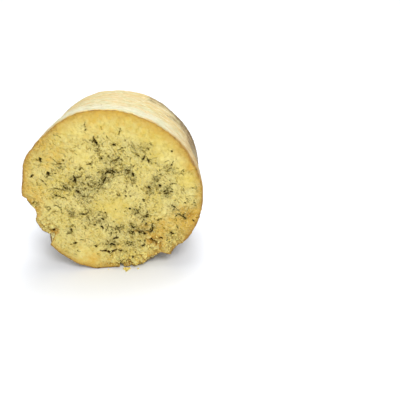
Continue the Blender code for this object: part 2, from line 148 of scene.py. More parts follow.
# Each main vein of mould, in mm: both ends as x and height from the axis, and width.
VEINS = (
    # Upper left of the face
    (-18, 66, -12, 66, 1.6), (-14, 68, -11.5, 61, 2.6), (-16, 64, -13, 66, 2.0),
    (-13, 71, -14, 68, 1.2), (-10, 60, -11, 54, 1.2), (-9, 71, -9.5, 69, 1.0),
    (-73, 48, -72.5, 44, 2.4), (-78, 45.5, -74, 45.5, 0.9), (-59, 46, -54, 41, 1.1),
    (-54, 41, -51, 41, 1.3), (-49, 45.5, -48, 44.5, 1.3), (-56, 37, -52, 35.5, 0.8),
    (-86, 26, -83.5, 30, 1.5), (-66.7, 32, -66, 28.5, 2.6), (-70, 26, -68, 27, 1.0),
    (-64.5, 28, -63.5, 27, 0.9), (-75, 23, -73.5, 21, 1.1), (-71.5, 19, -70.5, 17.5, 0.9),
    (-82, 16, -76, 17.5, 0.7), (-57, 20.5, -53, 20.5, 0.6), (-52, 15.5, -50, 11, 1.8),
    (-49, 14.5, -49, 10, 1.0), (-64, 13.5, -58, 11, 1.3), (-57, 11, -51, 9, 1.0),
    (-64, 4.5, -60, 3, 1.8), (-60, 3, -52, -0.5, 1.3), (-51, 4.5, -48.5, 3.8, 0.9),
    (-46, 11.5, -45, 9, 1.3), (-43, 15, -42, 13, 1.2), (-39.5, 27, -39, 19, 2.2),
    (-39, 24.5, -34, 25, 1.5), (-41, 20, -38, 18.5, 1.2), (-39, 9.5, -37, 7, 2.2),
    (-36.5, 6.5, -35, 6, 1.2), (-33.5, 3, -31, 1.5, 1.6), (-28, 22.5, -21, 27, 1.0),
    (-23, 40.5, -18, 41, 1.4), (-21, 41, -19.5, 39, 1.2), (-19, 37, -18, 35.5, 1.0),
    (-33.5, 33, -30, 36.5, 1.4), (-30, 36.5, -28.5, 34, 0.9), (-39, 56, -35, 55.5, 0.9),
    (-35, 53, -33, 51, 0.8), (-54, 74, -47, 70, 0.5), (-21, 85, -21, 80, 0.9),
    (-4.8, 81, -4.5, 77.5, 0.8), (0, 70.5, 0, 68, 1.2), (-26.5, 18, -25, 15, 1.3),
    (-24, 14.5, -22, 12.5, 1.3), (-22, 19.5, -20.5, 17, 1.0), (-30, 12.5, -29, 11, 1.6),
    (-20, 11.5, -18.5, 10.5, 1.0), (-17, 12, -14.5, 10, 1.1), (-14, 16.5, -12.5, 14.5, 1.2),
    (-9.5, 18, -6, 24, 2.2), (-10.5, 25, -9.5, 20, 1.2), (-8.5, 47, -8, 45, 1.5),
    (-10.5, 52, -10, 42, 0.6), (-4, 52, -2.5, 51, 0.9), (-2, 48.5, 1.5, 46.5, 1.2),
    (-6, 41, -3, 40, 0.9), (1, 42.5, 5, 43.5, 1.1), (-14, 30, -11.5, 30.5, 1.4),
    (-10.5, 31, -9, 31.5, 1.0), (-8.5, 33, -7.5, 30.5, 1.2), (-6, 29, 0, 30.5, 2.4),
    (0, 32, 5, 30.5, 2.4), (1, 28.5, 3, 27, 1.6), (5, 33, 8, 30, 1.1),
    (-67, 2, -65, 1.5, 0.8), (-20, 79, -23, 77, 0.9), (-3, 22.5, -2, 20.5, 1.0), (-61, 8, -60.5, 6, 0.8),
    # Upper right
    (12.5, 72, 15, 79, 1.1), (11.5, 72.5, 13.5, 71.5, 1.0), (5, 61.8, 8, 60.5, 1.9),
    (10, 54.5, 13, 57, 1.2), (13, 57, 18, 58.5, 1.1), (18, 67, 19.5, 65, 0.8),
    (24.5, 60, 28, 56.5, 1.0), (24, 54, 25.5, 52, 1.1), (29, 50, 33, 48.5, 1.5),
    (35, 55, 36.5, 53, 1.0), (38.5, 48, 35, 44, 1.6), (34.5, 45, 36, 43.5, 1.2),
    (41, 45.5, 42.5, 40.5, 1.8), (44, 61.8, 46, 60, 1.1), (41.5, 58, 43, 55, 1.2),
    (66.5, 53.5, 67.7, 53, 1.7), (71.8, 44.5, 72.2, 43.3, 1.0), (59, 41, 63, 42.5, 0.6),
    (10.5, 47, 8, 43.5, 1.4), (4.5, 44, 7, 44, 1.2), (12, 45, 14, 43, 1.2),
    (22, 43.5, 24, 46.5, 0.9), (16, 34, 17, 31, 1.2), (18, 33, 19.5, 28, 1.6),
    (23.5, 29, 25, 25.5, 2.4), (22.5, 26, 24, 24.5, 1.4), (21.5, 23, 21.5, 18, 1.0),
    (15.5, 14, 15.8, 11.5, 1.4), (26.5, 14, 27.5, 12, 1.0), (29, 34.5, 29.5, 32.5, 0.9),
    (32.5, 29, 33.5, 28.5, 1.0), (52.5, 37, 53.5, 35.5, 0.9), (53, 32.5, 54, 31, 1.0),
    (52.5, 26.7, 55, 26.3, 1.5), (65.5, 36.5, 67.5, 38.5, 1.6), (62, 32, 66, 34.5, 1.2),
    (60, 30.5, 63, 30.5, 1.2), (68, 29, 69.5, 27, 0.8), (77, 28, 79, 25.5, 1.1),
    (46, 24, 48, 19, 1.0), (50, 20.5, 52, 20, 1.1), (52.5, 13.8, 54, 12.6, 2.2),
    (40, 12, 42, 10.3, 2.2), (44, 5.5, 46, 4.5, 1.0), (37, 4.5, 39, 4, 0.9),
    (64, 14.5, 68, 15.5, 1.2), (68, 15.5, 72, 14.5, 0.9), (56, 5.5, 60, 7.5, 1.6),
    (60, 7.5, 62, 10.5, 1.2), (57, 3, 61, 3.5, 1.6), (63, 5, 66.5, 6, 1.4),
    (78.5, 9, 79.5, 6, 1.1), (87.5, 9.5, 90, 10, 1.1), (92.5, 13, 94, 9, 0.9),
    (94, 33.5, 93.5, 31.5, 1.3), (13.5, 8, 15.5, 7, 1.3), (5, 5, 6, 2, 1.3),
    (7, 4.5, 7.5, 1, 1.3), (13.5, 2.5, 15, 1, 1.4), (18.5, 2, 20, 0.8, 1.2),
    (3, 60, 4.5, 60.5, 0.8), (37, 54, 38, 52, 0.8), (45, 41, 45, 38, 0.8), (40, 56, 42, 56.5, 0.9),
    (10, 40, 11.5, 37, 0.8), (8, 42, 5, 40, 0.8), (17, 29, 16.5, 27, 1.0), (24, 22, 24, 16, 0.8),
    (14.5, 20, 16, 18.5, 0.9), (51, 41, 51.3, 39, 0.8), (71.5, 34, 72.5, 32.5, 0.9),
    (74, 26, 75, 25.5, 0.9), (79, 30.5, 80, 29.5, 0.9), (41, 9, 43, 5.5, 0.9), (64, 13, 63, 9.5, 0.8),
    (65, 9, 67, 8, 0.9), (54, 4, 52, 3, 1.0), (76.5, 11.5, 77.5, 10.5, 0.9), (92, 7.5, 93.5, 8, 0.9),
    (10, 6, 11.5, 5, 0.9),
    # Lower left
    (-89, -6, -87, -2, 1.0), (-87, -2, -85, -4, 1.0), (-85, -5, -87, -7, 0.9),
    (-74.5, -10.5, -73, -8.8, 0.9), (-73, -8.8, -71.3, -10, 0.9), (-71.3, -10, -71.5, -13, 1.0),
    (-71.5, -13, -74, -14.3, 1.0), (-67, -8.5, -64, -8.3, 1.3), (-64, -8.3, -60.5, -11, 1.3),
    (-60.5, -11, -59, -15, 1.1), (-69, -16.5, -65, -16.3, 0.7), (-49, -14, -49.5, -19, 1.0),
    (-49.5, -19, -48, -22, 1.0), (-46.5, -15, -46, -20, 0.9), (-48.5, -13, -46, -13.5, 0.8),
    (-40, -20.3, -31.5, -19.3, 1.7), (-30, -24, -29, -30, 0.9), (-25.5, -34, -22.5, -35.3, 1.4),
    (-17, -17.5, -13, -19.5, 1.2), (-11, -18.3, -9.5, -20, 1.1), (-9.5, -21, -9.3, -24.5, 0.9),
    (-15.5, -26, -13, -28, 1.8), (-19, -28.5, -18, -31, 1.0), (-17.5, -37, -15, -39, 2.0),
    (-34, -9, -32, -12, 0.9), (-28, -16, -26, -17.5, 0.9), (-37, -33.5, -34, -38, 0.8),
    (-36, -39.5, -35, -38, 1.0), (-52.5, -26.5, -51.5, -29.5, 0.9), (-50, -34, -49.5, -36.5, 1.2),
    (-51.5, -38, -52, -42, 1.8), (-58.5, -45.3, -53, -45.5, 1.3), (-53.5, -45, -51, -43, 1.2),
    (-51.5, -58, -48, -57.5, 1.9), (-49, -68.5, -45, -70, 1.2), (-43, -54, -40, -53.8, 1.1),
    (-27, -62, -25, -64, 2.0), (-53, -73, -50, -73.5, 0.9), (-26, -74, -24, -74, 0.9),
    (-4.5, -54, 1, -52, 2.2), (-9.5, -61.5, -4, -63, 2.6), (-6, -61, -3.5, -62, 1.4),
    (-12, -55, -11.5, -58.5, 1.0), (-7, -44, -6.5, -49, 1.0), (-14, -44, -10, -39.5, 0.9),
    (-9, -33, -8, -37, 0.9), (-7.5, -37.5, -5, -38.5, 1.0), (-1.5, -42, 1, -37, 1.1),
    (-74.5, -13.5, -74.8, -11, 0.9), (-60, -18, -58.5, -18, 0.8), (-48, -24, -47, -25, 0.9),
    (-39.5, -19, -36, -18.5, 0.8), (-13, -24, -12, -23, 0.9), (-17, -34, -16, -35.5, 0.8),
    (-36, -4, -35, -6.5, 0.9), (-30, -3.5, -29, -5, 0.8), (-56, -59.5, -54, -59.5, 0.8),
    (-3, -52.5, -1.5, -54, 1.4), (-11, -60, -12, -62, 0.8), (2, -38.5, 3.5, -40, 0.8),
    (2.5, -43, 3.5, -46, 0.8), (-6, -41, -4.5, -42.5, 1.0), (-2, -46, 0, -45, 0.8),
    # Lower right
    (32.5, -3.2, 35.5, -4, 1.6), (16.5, -14.3, 18.5, -14.8, 1.6), (25.5, -16, 27.5, -21.5, 1.4),
    (22, -14.5, 23, -17, 0.9), (37, -17, 37, -21, 1.0), (38, -22, 34.5, -24.5, 1.3),
    (34.5, -24.8, 37.5, -25.3, 1.6), (48, -30.3, 50, -30, 1.9), (51.5, -28.8, 53, -28.3, 1.3),
    (34.5, -33.5, 36, -36, 1.5), (43, -34, 41.5, -39, 1.3), (41.5, -39, 42, -44, 1.6),
    (42, -44, 38, -46, 1.6), (38, -45.5, 34, -44.8, 1.0), (24, -46, 28, -46.5, 1.2),
    (28, -46.5, 31, -46, 1.0), (31, -48, 33.5, -49, 2.2), (16.5, -34, 17.5, -38, 1.2),
    (17.5, -39, 20.5, -40.3, 2.0), (20.5, -39, 22.5, -39.5, 1.2), (17, -43, 18, -49, 1.2),
    (4.5, -36, 5.5, -40, 0.8), (8.5, -36, 8, -41, 0.8), (10.5, -60, 12, -61, 1.2),
    (13, -58.5, 14, -59.5, 1.1), (15.5, -60, 17, -59, 1.1), (17.5, -62, 18, -64, 1.1),
    (30.5, -62, 32, -63.5, 1.4), (28, -65, 31, -64, 2.0), (31.5, -57, 32.5, -58, 1.0),
    (19.5, -73, 20.5, -74, 1.0), (15.5, -78, 17, -80, 1.3), (66.5, -13, 69, -15, 1.9),
    (65, -12, 66, -13, 1.2), (71.5, -17.5, 73, -19.5, 0.9), (82, -4, 84, -4.5, 1.2),
    (80, -8, 81.5, -10, 1.0), (90, -8.5, 92, -9.5, 1.0), (72.5, -23, 75, -24.5, 1.2),
    (75, -25.5, 79, -27, 1.4), (79, -28, 81.5, -30, 1.7), (33.5, -4.5, 34.5, -5.5, 1.2),
    (13.5, -12.5, 14.5, -13, 0.9), (10.5, -17.5, 11.5, -18.5, 0.8), (23.5, -20, 22.5, -23, 0.9),
    (28, -12, 30, -15, 0.8), (32, -25.5, 33.5, -26.5, 1.0), (31.5, -28.5, 33, -31, 0.8),
    (45.5, -19.5, 47, -20, 0.8), (36.5, -37, 38, -36, 0.9), (31, -31, 30, -33, 0.8),
    (40, -41, 39, -43, 0.9), (15, -45, 16, -47, 0.9), (19.5, -45, 20, -48.5, 0.8), (1, -38, 2, -42, 1.0),
    (14, -62, 15.5, -63, 1.0), (12, -64, 13, -63.5, 0.8), (26, -57.5, 27, -58.5, 0.8),
    (49, -55, 50, -54.5, 1.0), (66.5, -17.5, 67, -18, 0.8), (91, -12, 93, -12.5, 0.9),
    (69, -26, 71, -25, 1.0), (78, -23, 79, -25, 0.9), (54, -2.5, 56, -3, 0.8), (60, -1, 61.5, -2.5, 0.9),
    (62, -46, 66, -50, 1.5), (57, -58, 61, -57, 1.2), (70, -40, 72, -43, 1.3),
)

# Each brown crack or torn hole, in the same form as the veins.
CRACKS = (
    (-21.5, -69.8, -17, -71.2, 1.2), (-17, -71.4, -13, -71.6, 1.5), (-13.5, -72, -9.5, -73.2, 2.0),
    (-9.5, -73, -6, -71.2, 1.7), (-5.5, -71, -2, -70.1, 1.7), (-1.5, -70.2, 4.7, -70.8, 1.5),
    (-15.5, -71, -15, -67.5, 0.7), (-11, -74, -10, -78, 0.6), (-4, -70, -2.5, -67.5, 0.7),
    (-73.5, -40, -71.5, -41.5, 2.4), (39, -56.5, 41, -60, 1.2), (50.5, -53.5, 52.5, -56, 1.6),
    (2, -86, 1, -91, 1.8), (88.5, -31, 91, -33, 1.2),
)

# Each cloud of mould, in mm: x and height of its middle, radius, tint from 0 to 1, and how many
# small veins lie scattered in it.
CLOUDS = (
    (18, 31, 6, 0.8, 6), (24, 21, 6, 0.5, 6), (66, 34, 9, 0.38, 8), (60, 6, 10, 0.55, 12),
    (42, 9, 7, 0.5, 8), (48, 20, 7, 0.5, 6), (-38, 8, 8, 0.5, 12), (-39, 23, 7, 0.6, 6),
    (-51, 13, 6, 0.6, 5), (-33, 1, 8, 0.5, 8), (-48, -18, 7, 0.4, 6), (-52, -40, 7, 0.4, 6),
    (-8, -60, 9, 0.6, 12), (-1, -41, 9, 0.4, 14), (-14, -25, 10, 0.4, 14), (17, -42, 9, 0.5, 10),
    (30, -45, 10, 0.4, 10), (42, -40, 7, 0.6, 4), (24, -18, 9, 0.4, 16), (-38, 70, 6, 0.3, 3),
    (-21, 82, 6, 0.3, 3), (-53, 38, 7, 0.4, 5), (-66, 27, 9, 0.2, 6), (0, 30, 10, 0.5, 14),
    (-20, 17, 12, 0.5, 20), (-8, 20, 8, 0.5, 8), (27, 56, 11, 0.3, 9), (42, 57, 8, 0.3, 6),
    (7, 45, 10, 0.4, 14), (78, -25, 9, 0.4, 12), (91, -10, 6, 0.3, 5), (-28, -27, 14, 0.4, 24),
    (14, 7, 10, 0.1, 6), (33, -26, 9, 0.3, 10), (-14, 61, 8, 0.3, 6), (36, 44, 9, 0.2, 8),
    (14, -61, 8, 0.4, 14), (28, -62, 9, 0.3, 10), (67, -14, 9, 0.3, 10), (53, 30, 9, 0.2, 4),
    (-30, 33, 12, 0.1, 8), (-62, 5, 14, 0.1, 8), (-25, 0, 14, 0.2, 16), (-8, 48, 9, 0.2, 8),
    (12, 68, 10, 0.1, 5), (80, 8, 10, 0.1, 8), (-75, 25, 12, 0.1, 6), (-50, -62, 14, 0.1, 5),
    (40, -6, 12, 0.1, 12), (6, -78, 12, 0.2, 6), (64, -50, 12, 0.3, 14), (-60, -22, 12, 0.1, 6),
)

# Each part of the face with a loose, crumbly grain, in mm: x and height of its middle, and radius.
CRUMBLY_PARTS = ((4, -84, 16), (24, -84, 12), (-78, -34, 14), (46, -64, 12), (-88, -6, 8), (68, -62, 16))


def paint(red, green, blue):
    """A screen colour, each part from 0 to 255, as the linear colour that shaders take."""
    parts = (part / 255 for part in (red, green, blue))
    return tuple(p / 12.92 if p <= 0.04045 else ((p + 0.055) / 1.055) ** 2.4 for p in parts)


def length(name, description, default, **limits):
    return FloatProperty(
        name=name, description=description, default=default, unit="LENGTH", precision=4, **limits
    )


def colour(name, description, default):
    return FloatVectorProperty(
        name=name, description=description, default=default, subtype="COLOR", min=0, max=1
    )


class HalfDrumSizes(bpy.types.PropertyGroup):
    drum_radius: length("Drum radius", "Radius of the round rind, before its swellings", 0.0984)
    drum_depth: length("Drum depth", "From the cut face to the drum's own end", 0.116)
    axis_height: length("Axis height", "Height of the drum's axis above what it rests on", 0.095)
    axis_x: length("Axis place", "Where the drum's axis lies from side to side", -0.0009)
    face_y: length("Cut face place", "Where the cut face's plane lies", -0.0560)
    end_edge_radius: length("End edge radius", "Rounded edge of the drum's own end", 0.013)
    cut_edge_inset: length("Cut edge inset", "How far the knife has rounded the cut edge", 0.0007)
    end_hollow: length("End hollow", "How far the drum's own end has sunk in its middle", 0.0022)
    waist: length("Waist", "How far the side is drawn in half way along", 0.0009)
    face_spacing: length("Face spacing", "Between points in plain paste", 0.00120)
    crumb_spacing: length("Crumb spacing", "Between points in crumbly paste", 0.00075)
    vein_spacing: length("Vein spacing", "Between points near a vein", 0.00046)
    end_spacing: length("End spacing", "Between points on the drum's own end", 0.0030)
    columns: IntProperty(name="Columns", description="Points round the rind", default=350, min=60)
    side_rings: IntProperty(name="Rings", description="Points along the rind", default=80, min=8)
    pit_depth: length("Pit depth", "How deep a vein 1 mm wide is sunk", 0.0007)
    wrinkle_height: length("Wrinkle height", "Height of the rind's fine wrinkles", 0.00042)
    grain_height: length("Grain height", "Height of the crumbly grain", 0.0017)
    flake_height: length("Flake height", "Height of the torn flakes", 0.00075)
    crease_depth: length("Crease depth", "Depth of the crease round a lump", 0.0008)


class CheeseColours(bpy.types.PropertyGroup):
    cream: colour("Cream paste", "Pale parts of the cut paste", paint(240, 224, 142))
    butter: colour("Butter paste", "Yellow parts of the cut paste", paint(225, 199, 90))
    golden: colour("Golden paste", "Paste that has ripened to a golden orange", paint(230, 186, 76))
    # Also painted shade in the deeper seams and hollows.
    amber: colour("Amber paste", "Deep golden paste inside a broken hollow", paint(198, 144, 44))
    # foot: painted contact shadow where the drum rests.
    foot: colour("Foot", "Damp, browned skin where the drum rests", paint(100, 66, 40))
    crumb: colour("Pale crumb", "Pale crumbs and lips of the torn paste", paint(248, 238, 172))
    # Also the painted highlight on lumps and grain crests that stand proud.
    lump: colour("Lump", "Fresh lumps of curd", paint(252, 238, 150))
    # Painted shade on the lumps' undersides.
    lump_underside_shade: colour("Lump underside", "Golden undersides of the lumps", paint(216, 164, 58))
    ash: colour("Ashen paste", "Paste dulled by the mould near it", paint(216, 200, 122))
    # Painted shade in the tears between flakes and in the gaps of the crumbly grain.
    tear: colour("Tear", "Fine tears between the flakes", paint(162, 134, 56))
    rim: colour("Rim", "Ripened paste towards the rind", paint(214, 174, 78))
    rim_deep: colour("Deep rim", "Ripened patches just under the rind", paint(192, 140, 56))
    rim_line: colour("Rim line", "Dark line where paste meets rind", paint(140, 104, 62))
    # Also painted shade on the paste's rim towards the lower sides, most on the right.
    rim_dusk: colour("Dusky rim", "Brown rim towards the lower sides", paint(146, 108, 56))
    # Also painted shade in the creases round the lumps and in the deepest hollows.
    torn: colour("Torn paste", "Paste in cracks and broken hollows", paint(158, 118, 26))
    crack: colour("Crack", "Deepest part of a crack", paint(66, 42, 6))
    mould_dark: colour("Dark mould", "Middle of a vein", paint(58, 42, 2))
    mould_green: colour("Green mould", "Edge of a vein", paint(144, 124, 38))
    mould_blue: colour("Blue mould", "Cloudy tint round the veins", paint(170, 160, 102))
    rind_lip: colour("Rind lip", "The rind right at the cut edge", paint(226, 200, 126))
    rind_tawny: colour("Tawny rind", "The cut edge of the rind, low on its sides", paint(184, 146, 80))
    rind_pale: colour("Pale rind", "The rind near the cut edge", paint(212, 211, 186))
    rind_white: colour("White rind", "Fine white streaks of the rind", paint(240, 232, 198))
    rind_thread: colour("Rind thread", "Fine grey-green streaks of the rind", paint(176, 166, 124))
    rind_cream: colour("Cream rind", "Most of the rind", paint(209, 197, 150))
    rind_butter: colour("Yellow rind", "Warm streaks of the rind", paint(211, 190, 128))
    rind_peach: colour("Peach rind", "Reddish streaks of the rind", paint(214, 172, 120))
    rind_green: colour("Grey-green rind", "Mouldy streaks of the rind", paint(196, 200, 156))
    # Also painted shade on the rind's worn sides, most on the right.
    rind_tan: colour("Tan rind", "Dry, rubbed parts of the rind", paint(190, 156, 102))
    # Also painted shade on the rind's sides, most on the right.
    rind_dusk: colour("Dusky rind", "Grey-brown lower sides of the rind", paint(100, 84, 60))
    rind_crust: colour("Rind crust", "Rough, dry grain of the dusky skin", paint(146, 122, 86))
    rind_bloom: colour("Rind bloom", "Dusty bloom over the weathered skin", paint(192, 182, 150))
    rind_brown: colour("Brown rind", "Cracks and spots of the rind", paint(112, 86, 60))


class StudioSettings(bpy.types.PropertyGroup):
    floor: colour("Floor", "Plain pale floor and backdrop", (0.91, 0.93, 0.97))
    key_power: FloatProperty(name="Key", description="Light from the front, above and to the right", default=19.2, unit="POWER")
    fill_power: FloatProperty(name="Fill", description="Light from the left", default=1.5, unit="POWER")
    top_power: FloatProperty(name="Top", description="Light from above", default=3.2, unit="POWER")
    back_power: FloatProperty(name="Back", description="Light on the backdrop", default=9, unit="POWER")
    sky: FloatProperty(name="Sky", description="Strength of the light all round", default=0.47, min=0)


def smooth_step(low, high, value):
    share = min(1.0, max(0.0, (value - low) / (high - low)))
    return share * share * (3 - 2 * share)


def degrees_between(angle, centre):
    """How far an angle in degrees is from another, the short way round."""
    return abs((angle - centre + 180) % 360 - 180)


def layered(place, layers, seed):
    """Noise of several heights and widths at one place."""
    return sum(height * noise.noise(place / width + seed) for height, width in layers)


def stretched(x, y, z, along, across):
    """A place for noise that runs along the rind's turn and is narrow across it."""
    return Vector((x / along, y / across, z / along))


class Form:
    """The half drum's broad shape, the same as that of the solid it stands for."""

    def __init__(self, sizes):
        self.radius = sizes.drum_radius
        self.depth = sizes.drum_depth
        self.axis_height = sizes.axis_height
        self.axis_x = sizes.axis_x
        self.face_y = sizes.face_y
        self.edge_radius = sizes.end_edge_radius
        self.inset = sizes.cut_edge_inset
        self.hollow = sizes.end_hollow
        self.waist = sizes.waist

    def swelling(self, angle):
        """How far the rind stands proud of the plain drum at this angle."""
        return sum(
            height * math.exp(-((degrees_between(angle, centre) / width) ** 2))
            for centre, width, height in RIM_SWELLINGS
        )

    def bite(self, angle, depth):
        """How much has broken away from the rim at this angle and this far behind the cut face."""
        turn = math.radians(angle)
        place = Vector((math.cos(turn) * self.radius, depth, math.sin(turn) * self.radius)) / BITE_SWAY_WIDTH
        angle += BITE_SWAY * smooth_step(0, 0.012, depth) * noise.noise(place + END_SEED)
        depth *= 1 + BITE_RAGS * noise.noise(place + RELIEF_SEED)
        taken = 0.0
        for centre, width, deep, reach, side in EDGE_BITES:
            narrowed = width * math.sqrt(max(0.0, 1 - (depth / reach) ** 2))
            away = degrees_between(angle, centre)
            if away < narrowed:
                soft = side + (1 - side) * smooth_step(0, reach, depth)
                across = 1 - smooth_step(narrowed * (1 - soft), narrowed, away)
                along = 1 - smooth_step(0.25 * reach, reach, depth)
                taken += deep * across * along
        return taken

    def rim_radius(self, angle, depth):
        """The drum's radius at this angle and depth, down to the flat that it rests on."""
        turn = math.radians(angle)
        place = Vector((math.cos(turn) * self.radius, depth, math.sin(turn) * self.radius))
        radius = self.radius + self.swelling(angle) + layered(place, RIND_RELIEF, RELIEF_SEED)
        radius -= self.waist * math.sin(math.pi * depth / self.depth) + self.bite(angle, depth)
        down = -math.sin(turn)
        return min(radius, self.axis_height / down) if down > 0 else radius

    def seam_depth(self, x, height):
        """How deep the open seams cut the face at this place."""
        deep = 0.0
        here = Vector((x, height))
        wander_place = Vector((x, height, 0)) / SEAM_WANDER_WIDTH + RELIEF_SEED
        wander = SEAM_WANDER * noise.noise(wander_place)
        wander += layered(Vector((x, height, 2)), SEAM_RAGS, END_SEED)
        for x0, h0, x1, h1, width, depth in SEAMS:
            start, end = Vector((x0, h0)), Vector((x1, h1))
            _, share = geometry.intersect_point_line(here, start, end)
            nearest = start.lerp(end, min(1.0, max(0.0, share)))
            away = (here - nearest).length + wander
            deep = max(deep, depth * math.exp(-((away / (SEAM_MIDDLE * width)) ** 2)))
        return deep

    def patch_depth(self, x, height):
        """How far the crumbled patches have sunk the face at this place."""
        deep = 0.0
        rough_place = Vector((x, height, 0)) / PATCH_ROUGHNESS_WIDTH
        rough = 1 + PATCH_ROUGHNESS * noise.noise(rough_place)
        for middle_x, middle_height, radius, depth in CRUMBLED_PATCHES:
            away = math.hypot(x - middle_x, height - middle_height) / radius
            deep += depth * rough * math.exp(-(away**2))
        return deep

    def disc_radius(self, share, rim):
        """How far out a point of an end's net lies, when the rim at its angle has this radius."""
        return self.radius * share + (rim - self.radius) * share**RIM_PULL

    def disc_share(self, radius, rim):
        """The share of an end's net that lies at this radius."""
        share = radius / rim
        for _ in range(20):
            share = (radius - (rim - self.radius) * share**RIM_PULL) / self.radius
        return share

    def bent(self, x, height):
        """A place moved about by a millimetre or so, to make round things uneven."""
        sway = noise.noise_vector(Vector((x, height, 5)) / LUMP_SWAY_WIDTH) * LUMP_SWAY
        return x + sway.x, height + sway.y

    def lump_foot(self, x, height):
        """How close this place is to the foot of a lump, most along its underside, and how far down
        that underside it lies, both from 0 to 1: the crease and the underside that are painted in shade."""
        x, height = self.bent(x, height)
        nearest, below = min(
            (math.hypot(x - middle_x, height - middle_height) / radius, (middle_height - height) / radius)
            for middle_x, middle_height, radius, _ in LUMPS
        )
        ring = 1 - smooth_step(0.0, 0.32, abs(nearest - 1.02))
        under = smooth_step(0.1, 0.9, below) * (1 - smooth_step(1.0, 1.25, nearest))
        return ring * (0.05 + 0.95 * smooth_step(-0.1, 0.9, below)), under

    def lump_height(self, x, height):
        """How far the domed lumps stand proud of the face at this place."""
        tall = 0.0
        x, height = self.bent(x, height)
        rough_place = Vector((x, height, 9)) / PATCH_ROUGHNESS_WIDTH
        rough = 1 + PATCH_ROUGHNESS * noise.noise(rough_place)
        for middle_x, middle_height, radius, proud in LUMPS:
            away = math.hypot(x - middle_x, height - middle_height) / radius
            if away < 1:
                tall = max(tall, proud * rough * (1 - away**2) ** 0.6)
        return tall

    def face_depth(self, x, height):
        """How far behind its flat plane the cut face's broad shape lies here."""
        waves = layered(Vector((x, 0, height)), FACE_RELIEF, RELIEF_SEED)
        sunk = self.seam_depth(x, height) + self.patch_depth(x, height)
        return waves + sunk - self.lump_height(x, height)

    def end_relief(self, x, height, share):
        """How far the drum's own end lies in front of its flat plane here."""
        waves = layered(Vector((x, 0, height)), RIND_RELIEF, END_SEED)
        return self.hollow * (1 - share * share) + waves * (1 - share**4)


# A short piece of a vein: its middle, the way from one end of it to the other, half its width, how
# deep it is sunk, how dark it is from 0 to 1, and whether it is mould or a brown crack.
VeinPoint = namedtuple("VeinPoint", "place along half_width depth power brown")

VEIN_STEP = 0.00032
NEIGHBOURS = 4
MAIN_WIDTH = 0.88  # share of a main vein's width that is mould and not the stain round it
DARK_SIDE = 0.34  # how much darker the veins are low on the right of the face


